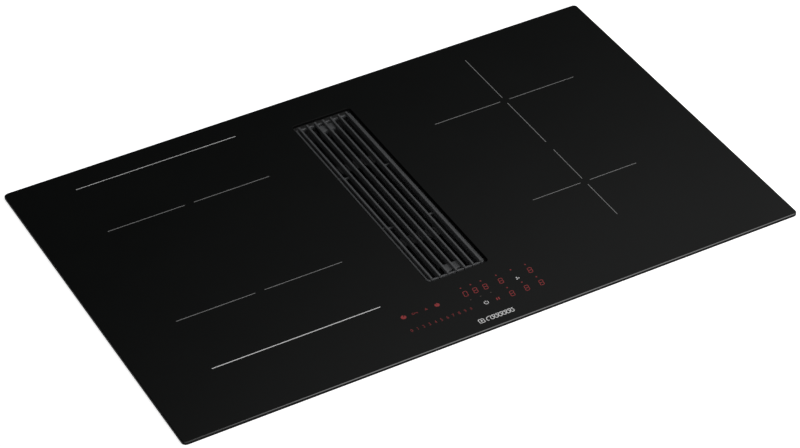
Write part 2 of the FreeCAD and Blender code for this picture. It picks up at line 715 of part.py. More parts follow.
def hopper_profile(wall):
    """Side view of the hopper, inside (wall 0) or outside: it narrows down to the tray's place."""
    half = well_in_l / 2 + wall
    half_tray = tray_place_l / 2 + wall
    return [(VENT_Y - half, well_straight_z), (VENT_Y + half, well_straight_z),
            (VENT_Y + half_tray, tray_throat_z), (VENT_Y - half_tray, tray_throat_z)]


def well_hopper():
    """Middle of the well: a moulded hopper bolted under the straight box."""
    outer = prism_along_x(hopper_profile(PLASTIC_T), -well_out_w / 2, well_out_w / 2)
    upper_joint = block(0, VENT_Y, well_in_w, well_out_l + 2 * JOINT_FLANGE, well_straight_z - PLASTIC_T,
                        well_straight_z)
    lower_joint = block(0, VENT_Y, well_in_w, tray_place_l + 2 * PLASTIC_T + 2 * JOINT_FLANGE, tray_throat_z,
                        tray_throat_z + PLASTIC_T)
    inner = prism_along_x(hopper_profile(0), -well_in_w / 2, well_in_w / 2)
    return joined([outer, upper_joint, lower_joint]).cut(inner)


def tray_pocket():
    """Bottom of the well: a moulded box that holds the drip tray."""
    outer = block(0, VENT_Y, well_out_w, tray_place_l + 2 * PLASTIC_T, well_z, tray_throat_z)
    outer = outer.makeFillet(MOULD_R, [e for e in outer.Edges if e.BoundBox.ZMin < tray_throat_z - MOULD_R])
    joint = block(0, VENT_Y, well_in_w, tray_place_l + 2 * PLASTIC_T + 2 * JOINT_FLANGE,
                  tray_throat_z - PLASTIC_T, tray_throat_z)
    inner = block(0, VENT_Y, well_in_w, tray_place_l, well_floor_z, tray_throat_z)
    return joined([outer, joint]).cut(inner)


def intake_channel():
    """Flat moulded channel from the well's port to the blower's inlet."""
    channel = slab(well_out_w / 2, plenum_x1, plenum_y0, plenum_y1, plenum_z0, plenum_z1)
    inside = slab(well_out_w / 2, plenum_x1 - PLASTIC_T, plenum_y0 + PLASTIC_T, plenum_y1 - PLASTIC_T,
                  plenum_z0 + PLASTIC_T, plenum_z1 - PLASTIC_T)
    corners = [e for e in channel.Edges if e.BoundBox.ZLength > PORT_H and e.CenterOfMass.x > scroll_x]
    channel = channel.makeFillet(PLENUM_MARGIN, corners)
    inner_corners = [e for e in inside.Edges if e.BoundBox.ZLength > PORT_H and e.CenterOfMass.x > scroll_x]
    inside = inside.makeFillet(PLENUM_MARGIN - PLASTIC_T, inner_corners)
    mouth = disc(scroll_x, SCROLL_Y, INLET_RING_R + INLET_RING_ROLL, plenum_z0, plenum_z0 + PLASTIC_T)
    return channel.cut(inside).cut(mouth)


# ================================================================ blower
def scroll_radius(degrees):
    """Radius of the scroll's wall, growing evenly from the tongue round to the outlet."""
    return scroll_r0 + scroll_growth * math.radians(degrees - TONGUE_DEG)


def scroll_plan(wall, z0, z1):
    """The scroll and its outlet seen from above, grown by a wall, as an upright prism."""
    points = []
    for n in range(SCROLL_STEPS + 1):
        degrees = TONGUE_DEG + (360 - TONGUE_DEG) * n / SCROLL_STEPS
        r = scroll_radius(degrees) + wall
        turn = math.radians(degrees)
        points.append(Vector(scroll_x + r * math.cos(turn), SCROLL_Y + r * math.sin(turn), z0))
    spiral = Part.BSplineCurve()
    spiral.interpolate(points)
    chord = Part.makeLine(points[-1], points[0])
    round_part = Part.Face(Part.Wire([spiral.toShape(), chord])).extrude(Vector(0, 0, z1 - z0))
    outlet = slab(scroll_out_x0 - wall, scroll_out_x1 + wall, SCROLL_Y, scroll_out_y, z0, z1)
    return joined([round_part, outlet])


def scroll_screw_places():
    """Middles of the screws round the scroll's flange, clear of the outlet."""
    places = []
    for n in range(SCROLL_SCREWS):
        degrees = SCROLL_FIRST_SCREW_DEG + (360 - SCROLL_FIRST_SCREW_DEG) * n / SCROLL_SCREWS
        r = scroll_radius(degrees) + PLASTIC_T + SCROLL_FLANGE / 2
        turn = math.radians(degrees)
        places.append((scroll_x + r * math.cos(turn), SCROLL_Y + r * math.sin(turn)))
    return places


def scroll_screw_holes(z0, z1):
    """Holes for the flange's screws."""
    return Part.makeCompound([disc(x, y, SCREW_R + SCREW_HOLE_GAP, z0, z1) for x, y in scroll_screw_places()])


def scroll_housing():
    """Lower moulding of the blower: floor, spiral wall and flange, with the motor's opening."""
    shell = joined([scroll_plan(PLASTIC_T, scroll_z0, scroll_top_z),
                    scroll_plan(PLASTIC_T + SCROLL_FLANGE, scroll_top_z - PLASTIC_T, scroll_top_z)])
    shell = shell.cut(scroll_plan(0, scroll_floor_z, scroll_top_z))
    shell = shell.cut(disc(scroll_x, SCROLL_Y, MOTOR_R + MOTOR_HOLE_GAP, scroll_z0, scroll_floor_z))
    return shell.cut(scroll_screw_holes(scroll_top_z - PLASTIC_T, scroll_top_z))


def scroll_cover():
    """Upper plate of the blower, with its rolled inlet ring."""
    plate = scroll_plan(PLASTIC_T + SCROLL_FLANGE, scroll_top_z, plenum_z0)
    lip = ring(scroll_x, SCROLL_Y, INLET_RING_R + PLASTIC_T, INLET_RING_R, scroll_top_z - INLET_RING_ROLL,
               plenum_z0)
    plate = plate.cut(disc(scroll_x, SCROLL_Y, INLET_RING_R, scroll_top_z, plenum_z0))
    return joined([plate, lip]).cut(scroll_screw_holes(scroll_top_z, plenum_z0))


def impeller():
    """Forward-curved drum: back disc, hub, blades and end ring."""
    back = disc(scroll_x, SCROLL_Y, IMPELLER_R, impeller_z0, impeller_blade_z)
    hub = disc(scroll_x, SCROLL_Y, HUB_R, impeller_blade_z, impeller_blade_z + HUB_H)
    blade_l = IMPELLER_R - IMPELLER_TIP_INSET - IMPELLER_IN_R
    blade = block(scroll_x + IMPELLER_IN_R + blade_l / 2, SCROLL_Y, blade_l, IMPELLER_BLADE_T, impeller_blade_z,
                  impeller_z1)
    blade = turned(blade, scroll_x + IMPELLER_IN_R, SCROLL_Y, IMPELLER_LEAN_DEG)
    blades = [turned(blade, scroll_x, SCROLL_Y, 360 * n / IMPELLER_BLADES) for n in range(IMPELLER_BLADES)]
    end = ring(scroll_x, SCROLL_Y, IMPELLER_R, IMPELLER_R - IMPELLER_RING_W, impeller_z1 - IMPELLER_DISC_T,
               impeller_z1)
    drum = joined([back, hub, end] + blades)
    return drum.cut(disc(scroll_x, SCROLL_Y, SHAFT_R, impeller_z0, impeller_blade_z + HUB_H))


def motor_shaft():
    """Shaft pressed into the hub and carried in the motor's bearings."""
    return disc(scroll_x, SCROLL_Y, SHAFT_R, motor_z0 + SHAFT_END_GAP, impeller_blade_z + HUB_H)


def motor_body():
    """External-rotor motor can with cooling fins underneath."""
    can = disc(scroll_x, SCROLL_Y, MOTOR_R, motor_z0, motor_z1)
    can = can.cut(disc(scroll_x, SCROLL_Y, SHAFT_R + SPIN_GAP, motor_z0 + SHAFT_END_GAP, motor_z1))
    groove = slab(scroll_x + MOTOR_GROOVE_R0, scroll_x + MOTOR_GROOVE_R1, SCROLL_Y - MOTOR_GROOVE_W / 2,
                  SCROLL_Y + MOTOR_GROOVE_W / 2, motor_z0, motor_z0 + MOTOR_GROOVE_DEPTH)
    grooves = [turned(groove, scroll_x, SCROLL_Y, 360 * n / MOTOR_FIN_COUNT) for n in range(MOTOR_FIN_COUNT)]
    return can.cut(Part.makeCompound(grooves))


def bush_places():
    """Middles of the motor's three rubber bushes."""
    turns = [math.radians(degrees) for degrees in BUSH_DEGREES]
    return [(scroll_x + BUSH_CIRCLE_R * math.cos(t), SCROLL_Y + BUSH_CIRCLE_R * math.sin(t)) for t in turns]


def motor_bracket():
    """Pressed steel ring round the motor, with an arm to each bush."""
    z1 = scroll_z0 - BUSH_H
    z0 = z1 - BRACKET_T
    pieces = [ring(scroll_x, SCROLL_Y, MOTOR_R + BRACKET_RING_W, MOTOR_R, z0, z1)]
    arm_x0 = scroll_x + MOTOR_R + BRACKET_RING_W / 2
    arm = slab(arm_x0, scroll_x + BUSH_CIRCLE_R, SCROLL_Y - BUSH_R, SCROLL_Y + BUSH_R, z0, z1)
    pieces += [turned(arm, scroll_x, SCROLL_Y, degrees) for degrees in BUSH_DEGREES]
    pieces += [disc(x, y, BUSH_R, z0, z1) for x, y in bush_places()]
    return joined(pieces)


def motor_bushes():
    """Rubber bushes between the bracket and the scroll's floor."""
    return [disc(x, y, BUSH_R, scroll_z0 - BUSH_H, scroll_z0) for x, y in bush_places()]


def flat_rectangle(x, y, w, h, z):
    """An upright rectangle facing the rear, as a wire."""
    corners = [Vector(x + sx * w / 2, y, z + sz * h / 2) for sx, sz in ((-1, -1), (1, -1), (1, 1), (-1, 1))]
    return Part.makePolygon(corners + corners[:1])


def outlet_duct():
    """Spreads the blower's outlet to a flat duct spigot at the rear."""
    mid_z = (scroll_floor_z + scroll_top_z) / 2
    scroll_w = scroll_out_x1 - scroll_out_x0
    outlet_h = scroll_top_z - scroll_floor_z
    shells = []
    for wall in (DUCT_WALL, 0):
        inner_h = DUCT_H - 2 * DUCT_WALL
        near = flat_rectangle(outlet_x, scroll_out_y, scroll_w + 2 * wall, outlet_h + 2 * wall, mid_z)
        far = flat_rectangle(outlet_x, spigot_y, DUCT_W - 2 * DUCT_WALL + 2 * wall, inner_h + 2 * wall, mid_z)
        spread = Part.makeLoft([near, far], True, True)
        end = block(outlet_x, spigot_y + DUCT_COLLAR_L / 2, DUCT_W - 2 * DUCT_WALL + 2 * wall, DUCT_COLLAR_L,
                    mid_z - inner_h / 2 - wall, mid_z + inner_h / 2 + wall)
        shells.append(joined([spread, end]))
    return shells[0].cut(shells[1])


# ================================================================ cooking zones
def flex_shape(x, y):
    """Plan of a rounded rectangular coil: a maker of its prism at any border inwards."""
    def prism(border, z0, z1):
        return rounded(x, y, FLEX_COIL_W - 2 * border, flex_coil_d - 2 * border,
                       max(FLEX_COIL_R - border, FLEX_COIL_INNER_R), z0, z1)
    return prism, (flex_coil_d - COIL_EYE_D) / 2


def round_shape(x, y, diameter):
    """Plan of a round coil: a maker of its prism at any border inwards."""
    def prism(border, z0, z1):
        return disc(x, y, diameter / 2 - border, z0, z1)
    return prism, (diameter - COIL_EYE_D) / 2


def coil_winding(shape):
    """Flat litz winding: a disc with an eye, its turns standing out on top."""
    prism, depth = shape
    turns = int(depth // STRAND_PITCH)
    eye = turns * STRAND_PITCH
    ridge_z = winding_z0 + WINDING_T
    body = prism(0, winding_z0, ridge_z).cut(prism(eye, winding_z0, ridge_z))
    strands = []
    for n in range(turns):
        outer = prism(n * STRAND_PITCH, ridge_z, winding_z1)
        strands.append(outer.cut(prism((n + 1) * STRAND_PITCH - STRAND_GAP, ridge_z, winding_z1)))
    return joined([body] + strands)


def coil_carrier(shape, x, y, reach):
    """Moulded plate under the winding, with four feet that stand on the coil plate."""
    prism, _ = shape
    plate = prism(-CARRIER_BORDER, carrier_z, winding_z0)
    feet = [disc(x + sx * reach, y + sy * reach, CARRIER_FOOT_R, plate_z1, carrier_z)
            for sx in (-1, 1) for sy in (-1, 1)]
    return joined([plate] + feet).cut(disc(x, y, SENSOR_STEM_R + SCREW_HOLE_GAP, carrier_z, winding_z0))


def coil_ferrites(x, y, reach_x, reach_y):
    """Ferrite bars bonded in a star under the carrier."""
    start = COIL_EYE_D / 2
    bars = []
    for offset in (-FERRITE_W, FERRITE_W):
        bars.append(slab(x + start, x + reach_x - FERRITE_EDGE, y + offset - FERRITE_W / 2,
                         y + offset + FERRITE_W / 2, ferrite_z, carrier_z))
        bars.append(slab(x + offset - FERRITE_W / 2, x + offset + FERRITE_W / 2, y + start,
                         y + reach_y - FERRITE_EDGE, ferrite_z, carrier_z))
    return bars + [turned(bar, x, y, 180) for bar in bars]


def coil_mica(shape, x, y):
    """Mica sheet between the winding and the glass, with a window for the sensor."""
    prism, _ = shape
    return prism(0, winding_z1, glass_z0).cut(disc(x, y, SENSOR_R + SEAT_GAP, winding_z1, glass_z0))


def coil_sensor(x, y):
    """Spring-pressed temperature sensor in the coil's eye, touching the glass."""
    head = disc(x, y, SENSOR_R, winding_z0 + SENSOR_LIFT, glass_z0)
    stem = disc(x, y, SENSOR_STEM_R, plate_z1, winding_z0 + SENSOR_LIFT)
    return joined([head, stem])


def coil_plate():
    """Folded aluminium plate that carries the right-hand coils, pushed up by springs."""
    plate = slab(plate_inner_x, plate_outer_x, plate_front_y, plate_rear_y, plate_z0 - PLATE_FLANGE, plate_z1)
    plate = plate.cut(slab(plate_inner_x + PLATE_T, plate_outer_x - PLATE_T, plate_front_y + PLATE_T,
                           plate_rear_y - PLATE_T, plate_z0 - PLATE_FLANGE, plate_z0))
    for y in (REAR_ROUND_Y, FRONT_ROUND_Y):
        for side in (-1, 1):
            plate = plate.cut(disc(ROUND_X + side * 2 * SENSOR_R, y, LEAD_HOLE_R, plate_z0, plate_z1))
    return plate


def plate_springs():
    """Coil springs between the pan's floor and the coil plates."""
    height = plate_z0 - pan_floor_z
    rise = height - 2 * SPRING_WIRE_R
    mean_r = SPRING_R - SPRING_WIRE_R
    helix = Part.makeHelix(rise / SPRING_TURNS, rise, mean_r)
    section = Part.Wire(Part.makeCircle(SPRING_WIRE_R, Vector(mean_r, 0, 0), Vector(0, 1, 0)))
    coil = Part.Wire(helix.Edges).makePipeShell([section], True, True)
    springs = []
    for x in (plate_inner_x + SPRING_INSET, plate_outer_x - SPRING_INSET):
        for y in (plate_front_y + SPRING_INSET, plate_rear_y - SPRING_INSET):
            one = coil.copy()
            one.translate(Vector(x, y, pan_floor_z + SPRING_WIRE_R))
            springs += [one, mirrored_x(one)]
    return springs


# ================================================================ power electronics, right-hand side
def post_places():
    """Middles of a board's four posts."""
    half_w = BOARD_W / 2 - POST_INSET
    half_d = BOARD_D / 2 - POST_INSET
    mid_y = (board_front_y + board_rear_y) / 2
    return [(board_x + sx * half_w, mid_y + sy * half_d) for sx in (-1, 1) for sy in (-1, 1)]


def power_board():
    """Power board on its posts."""
    board = block(board_x, (board_front_y + board_rear_y) / 2, BOARD_W, BOARD_D, board_z0, board_z1)
    for x, y in post_places():
        board = board.cut(disc(x, y, POST_PIN_R, board_z0, board_z1))
    return board


def board_posts():
    """Snap-in nylon posts between the pan and the boards."""
    posts = []
    for x, y in post_places():
        pin = disc(x, y, POST_PIN_R, board_z0, board_z1 + POST_PIN_OUT)
        post = joined([disc(x, y, POST_R, pan_floor_z, board_z0), pin])
        posts += [post, mirrored_x(post)]
    return posts


def heat_sink():
    """Extruded aluminium heat sink in line with the fan, its fins along the air."""
    x0 = board_x - HEATSINK_W / 2
    y0 = board_front_y + HEATSINK_FRONT
    base = slab(x0, x0 + HEATSINK_W, y0, y0 + HEATSINK_L, board_z1, board_z1 + HEATSINK_BASE)
    step = (HEATSINK_W - FIN_T) / (FIN_COUNT - 1)
    fins = [slab(x0 + n * step, x0 + n * step + FIN_T, y0, y0 + HEATSINK_L, board_z1,
                 board_z1 + HEATSINK_H) for n in range(FIN_COUNT)]
    return joined([base] + fins)


def board_parts():
    """Capacitors, chokes and relays that stand on a board, each its own body."""
    parts = []
    left_x = board_x - BOARD_W / 2 + PART_INSET
    right_x = board_x + BOARD_W / 2 - PART_INSET
    for n in range(PART_ROWS):
        y = board_front_y + PART_INSET + n * PART_PITCH
        parts.append(block(left_x, y, FILM_W, FILM_D, board_z1, board_z1 + FILM_H))
        parts.append(disc(right_x, y, ELCO_R, board_z1, board_z1 + ELCO_H))
    choke_y = board_front_y + PART_INSET + PART_ROWS * PART_PITCH + CHOKE_R / 2
    for x in (left_x, right_x):
        parts.append(ring(x, choke_y, CHOKE_R, CHOKE_R / 2, board_z1, board_z1 + CHOKE_H))
    return parts


def fan_housing():
    """Housing of the cooling fan: open below to the pan's inlet, open at the rear to the heat sink."""
    half = FAN_SIZE / 2
    box = slab(board_x - half, board_x + half, fan_y - half, fan_y + half, pan_floor_z, pan_floor_z + FAN_H)
    inside = slab(board_x - half + FAN_WALL, board_x + half - FAN_WALL, fan_y - half + FAN_WALL, fan_y + half,
                  pan_floor_z + FAN_WALL, pan_floor_z + FAN_H - FAN_WALL)
    pin = disc(board_x, fan_y, FAN_BORE_R, fan_pin_z, pan_floor_z + FAN_H - FAN_WALL)
    shell = box.cut(inside).cut(disc(board_x, fan_y, FAN_INLET_R, pan_floor_z, pan_floor_z + FAN_WALL))
    return joined([shell, pin])


def fan_rotor():
    """Radial fan wheel that turns on the housing's pin."""
    z0 = fan_pin_z - FAN_WALL
    z1 = pan_floor_z + FAN_H - FAN_WALL - FAN_TOP_GAP
    cup = disc(board_x, fan_y, FAN_HUB_R, z0, z1)
    disc_top = disc(board_x, fan_y, FAN_ROTOR_R, z1 - FAN_BLADE_T, z1)
    blade_x = board_x + FAN_ROTOR_R - FAN_TIP_INSET - FAN_BLADE_L / 2
    blade = block(blade_x, fan_y, FAN_BLADE_L, FAN_BLADE_T, z0, z1)
    blades = [turned(blade, board_x, fan_y, 360 * n / FAN_BLADES) for n in range(FAN_BLADES)]
    bore = disc(board_x, fan_y, FAN_BORE_R + SPIN_GAP, fan_pin_z - SEAT_GAP, z1)
    return joined([cup, disc_top] + blades).cut(bore)


def terminal_block():
    """Mains terminal block beside the cable inlet, with a row of wire ways."""
    y1 = pan_in_y - TERMINAL_GAP
    body = slab(terminal_x - TERMINAL_W / 2, terminal_x + TERMINAL_W / 2, y1 - TERMINAL_D, y1, pan_floor_z,
                pan_floor_z + TERMINAL_H)
    pitch = TERMINAL_W / CLAMP_SCREWS
    for n in range(CLAMP_SCREWS):
        x = terminal_x - TERMINAL_W / 2 + pitch * (n + 0.5)
        body = body.cut(Part.makeCylinder(WIRE_WAY_R, TERMINAL_D, Vector(x, y1 - TERMINAL_D, wire_way_z),
                                          Vector(0, 1, 0)))
        body = body.cut(disc(x, y1 - TERMINAL_D / 2, WIRE_WAY_R, wire_way_z, pan_floor_z + TERMINAL_H))
    return body


# ================================================================ touch control
def control_housing():
    """Shallow moulded tray clipped under the glass's front, holding the touch board."""
    box = block(CONTROL_X, control_y, CONTROL_W, CONTROL_D, glass_z0 - CONTROL_H, glass_z0)
    inside = block(CONTROL_X, control_y, CONTROL_W - 2 * CONTROL_WALL, CONTROL_D - 2 * CONTROL_WALL,
                   glass_z0 - CONTROL_H + CONTROL_WALL, glass_z0)
    return box.cut(inside)


def control_board():
    """Touch board on the tray's posts, with its processor and plug underneath."""
    board = block(CONTROL_X, control_y, CONTROL_W - 2 * CONTROL_WALL - 2 * SEAT_GAP,
                  CONTROL_D - 2 * CONTROL_WALL - 2 * SEAT_GAP, control_board_z - BOARD_T, control_board_z)
    chip = block(CONTROL_X, control_y, CHIP_W, CHIP_W, control_board_z - BOARD_T - CHIP_T,
                 control_board_z - BOARD_T)
    reach_x = CONTROL_W / 2 - POST_INSET
    reach_y = CONTROL_D / 2 - POST_INSET
    posts = [disc(CONTROL_X + sx * reach_x, control_y + sy * reach_y, POST_R,
                  glass_z0 - CONTROL_H + CONTROL_WALL, control_board_z - BOARD_T)
             for sx in (-1, 1) for sy in (-1, 1)]
    return joined([board, chip] + posts)


def digit_places():
    """Middles of the seven-segment digits: timer and zones behind, levels in front."""
    rear = [(DIGIT_MIDDLE_X + n * TIMER_PITCH, DIGIT_REAR_Y) for n in (-1, 0, 1)]
    rear += [(LEVEL_X, DIGIT_REAR_Y), (LEVEL_X + 2 * LEVEL_PITCH, DIGIT_REAR_Y)]
    front = [(LEVEL_X + n * LEVEL_PITCH, DIGIT_FRONT_Y) for n in range(3)]
    return rear + front


def control_displays():
    """Seven-segment modules and light wells that stand on the touch board."""
    z1 = glass_z0 - GLASS_CONTACT_GAP
    return [block(x, y, DIGIT_W, DIGIT_D, control_board_z, z1) for x, y in digit_places()]


def touch_springs():
    """Sprung sleeves that carry each key's field up to the glass."""
    keys = [(SLIDER_X + n * SLIDER_PITCH, DIGIT_FRONT_Y) for n in range(SLIDER_KEYS)]
    keys += [(ICON_X + n * ICON_PITCH, DIGIT_REAR_Y) for n in range(ICON_KEYS)]
    keys += [(0, DIGIT_FRONT_Y), (ICON_PITCH, DIGIT_FRONT_Y), (LEVEL_X + LEVEL_PITCH, FAN_KEY_Y)]
    return [ring(x, y, TOUCH_R, TOUCH_R - TOUCH_WALL, control_board_z, glass_z0 - GLASS_CONTACT_GAP)
            for x, y in keys]


def control_cable():
    """Flat cable from under the touch board to the right-hand power board."""
    z1 = glass_z0 - CONTROL_H
    x0 = CONTROL_X + CONTROL_W / 4
    down = slab(x0, x0 + RIBBON_W, control_y, control_y + RIBBON_T, pan_floor_z, z1)
    along = slab(x0, board_x - FAN_SIZE / 2 - RIBBON_W, control_y, control_y + RIBBON_W, pan_floor_z,
                 pan_floor_z + RIBBON_T)
    back = slab(board_x - FAN_SIZE / 2 - 2 * RIBBON_W, board_x - FAN_SIZE / 2 - RIBBON_W, control_y,
                board_front_y - RIBBON_T, pan_floor_z, pan_floor_z + RIBBON_T)
    rise = slab(board_x - FAN_SIZE / 2 - 2 * RIBBON_W, board_x - FAN_SIZE / 2 - RIBBON_W,
                board_front_y - RIBBON_T, board_front_y, pan_floor_z, board_z1)
    return joined([down, along, back, rise])


# ================================================================ every sub-part
os.makedirs("parts", exist_ok=True)

save("glass_top", glass_top())
save("worktop_seal", worktop_seal())
save("glass_rails", glass_rails())
save("panhead_screws", panhead_screws())
left_pan, right_pan, pan_bridges = pan_sheets()
save("left_pan", left_pan)
save("right_pan", right_pan)
save("pan_bridges", pan_bridges)
save("side_springs", side_springs())
save("cable_inlet", cable_inlet())

save("intake_collar", intake_collar())
save("grille", grille())
save("filter_frame", filter_frame())
save("filter_mesh", filter_mesh())
save("drip_tray", drip_tray())
save("well_housing", well_housing())
save("well_hopper", well_hopper())
save("tray_pocket", tray_pocket())
save("intake_channel", intake_channel())

save("scroll_housing", scroll_housing())
save("scroll_cover", scroll_cover())
save("impeller", impeller())
save("motor_shaft", motor_shaft())
save("motor_body", motor_body())
save("motor_bracket", motor_bracket())
save("motor_bushes", motor_bushes())
save("outlet_duct", outlet_duct())

zones = {}
for name, zone_y in (("left_front", FLEX_Y - FLEX_PITCH / 2), ("left_rear", FLEX_Y + FLEX_PITCH / 2)):
    zones[name] = (flex_shape(FLEX_X, zone_y), FLEX_X, zone_y, FLEX_COIL_W / 2, flex_coil_d / 2)
for name, zone_y, size in (("right_front", FRONT_ROUND_Y, FRONT_COIL_D),
                           ("right_rear", REAR_ROUND_Y, REAR_COIL_D)):
    zones[name] = (round_shape(ROUND_X, zone_y, size), ROUND_X, zone_y, size / 2, size / 2)
for name, (zone, zone_x, zone_y, reach_x, reach_y) in zones.items():
    foot_reach = min(reach_x, reach_y) * math.sqrt(0.5) - CARRIER_FOOT_R
    save(name + "_winding", coil_winding(zone))
    save(name + "_carrier", coil_carrier(zone, zone_x, zone_y, foot_reach))
    save(name + "_ferrites", coil_ferrites(zone_x, zone_y, reach_x, reach_y))
save("coil_micas", [coil_mica(zone[0], zone[1], zone[2]) for zone in zones.values()])
save("coil_sensors", [coil_sensor(zone[1], zone[2]) for zone in zones.values()])
save("plate_springs", plate_springs())
save("board_posts", board_posts())

for name, shape in (("coil_plate", coil_plate()), ("power_board", power_board()), ("heat_sink", heat_sink()),
                    ("board_parts", Part.makeCompound(board_parts())), ("fan_housing", fan_housing()),
                    ("fan_rotor", fan_rotor())):
    save("right_" + name, shape)
    save("left_" + name, mirrored_x(shape))
save("terminal_block", terminal_block())

save("control_housing", control_housing())
save("control_board", control_board())
save("control_displays", control_displays())
save("touch_springs", touch_springs())
save("control_cable", control_cable())
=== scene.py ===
import math

import bpy
import numpy as np
from mathutils import Matrix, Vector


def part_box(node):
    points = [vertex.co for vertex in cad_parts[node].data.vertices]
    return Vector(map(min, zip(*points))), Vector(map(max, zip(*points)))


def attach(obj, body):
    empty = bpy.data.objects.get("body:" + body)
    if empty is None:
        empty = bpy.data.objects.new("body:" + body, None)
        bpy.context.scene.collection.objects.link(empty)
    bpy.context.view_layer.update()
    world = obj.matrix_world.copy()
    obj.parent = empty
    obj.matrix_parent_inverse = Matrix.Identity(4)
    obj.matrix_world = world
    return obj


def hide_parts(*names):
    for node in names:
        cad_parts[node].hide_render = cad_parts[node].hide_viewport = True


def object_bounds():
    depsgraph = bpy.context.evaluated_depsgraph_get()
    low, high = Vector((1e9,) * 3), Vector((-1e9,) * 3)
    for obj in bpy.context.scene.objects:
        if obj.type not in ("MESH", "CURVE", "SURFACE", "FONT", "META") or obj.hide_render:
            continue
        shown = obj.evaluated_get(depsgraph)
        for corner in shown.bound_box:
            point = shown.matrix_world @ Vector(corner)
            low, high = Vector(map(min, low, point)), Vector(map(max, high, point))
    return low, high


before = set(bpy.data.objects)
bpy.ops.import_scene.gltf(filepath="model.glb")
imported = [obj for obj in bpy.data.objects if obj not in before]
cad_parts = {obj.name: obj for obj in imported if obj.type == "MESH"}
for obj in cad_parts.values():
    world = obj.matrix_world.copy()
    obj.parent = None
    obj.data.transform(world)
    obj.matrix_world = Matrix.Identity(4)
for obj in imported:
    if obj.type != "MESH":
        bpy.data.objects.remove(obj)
cad_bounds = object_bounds()

# ------------------------------------------------------------------------------------ glass plate
# The cooking surface is one plate of black glass-ceramic, 4 mm thick. The rim and the opening for the
# extractor are cut first; then a 45 degree arris is ground on their top edges and polished, which rounds
# its corners a little.
PLATE_CORNER = 0.006
OPENING_CORNER = 0.005
RIM_ARRIS = 0.0008
OPENING_ARRIS = 0.0005
POLISH_ROUND = 0.00016
CORNER_STEPS = 10
QUARTER_TURN = math.pi / 2
FACET_TURN = math.pi / 4


def rounded_outline(middle, size, corner, steps=CORNER_STEPS):
    """Points round a rectangle whose corners are quarter circles, anticlockwise, and the outward direction
    at each: middle plus or minus (half size - corner), plus corner times (cos t, sin t), with t sweeping a
    quarter per corner."""
    t = (np.arange(4)[:, None] + np.linspace(0, 1, steps)[None, :]) * QUARTER_TURN
    outward = np.stack([np.cos(t), np.sin(t)], axis=-1)
    sides = np.array([[1, 1], [-1, 1], [-1, -1], [1, -1]])[:, None, :]
    points = np.array(middle) + sides * (np.array(size) / 2 - corner) + corner * outward
    return points.reshape(-1, 2), outward.reshape(-1, 2)


def ground_edge(arris, polish, top, bottom, steps=3):
    """Section of an edge from the top face down to the bottom one, as (distance outward, height) rows: a 45
    degree facet of the arris's width, each of its two corners an arc of the polish's radius through 45
    degrees."""
    reach = polish * math.tan(FACET_TURN / 2)
    turn = np.linspace(0, FACET_TURN, steps)
    upper = np.stack([-arris - reach + polish * np.sin(turn), top - polish + polish * np.cos(turn)], axis=1)
    turn = turn + FACET_TURN
    lower = np.stack([-polish + polish * np.sin(turn), top - arris - reach + polish * np.cos(turn)], axis=1)
    inside = [[-arris - 3 * polish, top]]
    return np.vstack([inside, upper, lower, [[0, bottom]]])


def grid_faces(rows, columns, wrap_rows=False, wrap_columns=False):
    """Quads of a rows by columns grid of points, optionally joined last to first either way."""
    i = np.arange(rows if wrap_rows else rows - 1)[:, None]
    j = np.arange(columns if wrap_columns else columns - 1)[None, :]
    i2, j2 = (i + 1) % rows, (j + 1) % columns
    corners = (i * columns + j, i2 * columns + j, i2 * columns + j2, i * columns + j2)
    return np.stack(np.broadcast_arrays(*corners), -1).reshape(-1, 4)


def mesh_piece(name, points, faces, material, smooth_angle=35):
    """A mesh object from an array of points and a list of faces, smooth except at edges sharper than the
    angle."""
    mesh = bpy.data.meshes.new(name)
    mesh.from_pydata(np.asarray(points, float).tolist(), [], [list(map(int, f)) for f in faces])
    mesh.polygons.foreach_set("use_smooth", np.ones(len(mesh.polygons), bool))
    mesh.set_sharp_from_angle(angle=math.radians(smooth_angle))
    mesh.materials.append(material)
    piece = bpy.data.objects.new(name, mesh)
    bpy.context.scene.collection.objects.link(piece)
    return piece


def plate_with_opening(outer, inner, outer_edge, inner_edge):
    """Points and faces of a plate with a hole. At each step round the outline, one closed ring of points
    runs down the outer edge's section and up the inner one's: outline point + outward direction * section
    distance."""
    (outer_points, outer_out), (inner_points, inner_out) = outer, inner
    down = outer_points[:, None, :] + outer_out[:, None, :] * outer_edge[None, :, :1]
    up = inner_points[:, None, :] - inner_out[:, None, :] * inner_edge[None, ::-1, :1]
    heights = np.concatenate([outer_edge[:, 1], inner_edge[::-1, 1]])
    ring = np.concatenate([down, up], axis=1)
    points = np.concatenate([ring, np.broadcast_to(heights[None, :, None], ring.shape[:2] + (1,))], axis=2)
    return points.reshape(-1, 3), grid_faces(len(ring), len(heights), True, True)


def new_material(name, **inputs):
    """A material with one Principled shader, its constant inputs set on their own sockets."""
    material = bpy.data.materials.new(name)
    material.use_nodes = True
    shader = material.node_tree.nodes["Principled BSDF"]
    for socket, value in inputs.items():
        shader.inputs[socket.replace("_", " ")].default_value = value
    return material, material.node_tree, shader


def add_node(tree, kind, inputs=None, **settings):
    """A node of that kind: settings are its properties, and inputs its sockets' values or the outputs wired
    to them."""
    node = tree.nodes.new(kind)
    for key, value in settings.items():
        setattr(node, key, value)
    for key, value in (inputs or {}).items():
        if isinstance(value, bpy.types.NodeSocket):
            tree.links.new(value, node.inputs[key])
        else:
            node.inputs[key].default_value = value
    return node


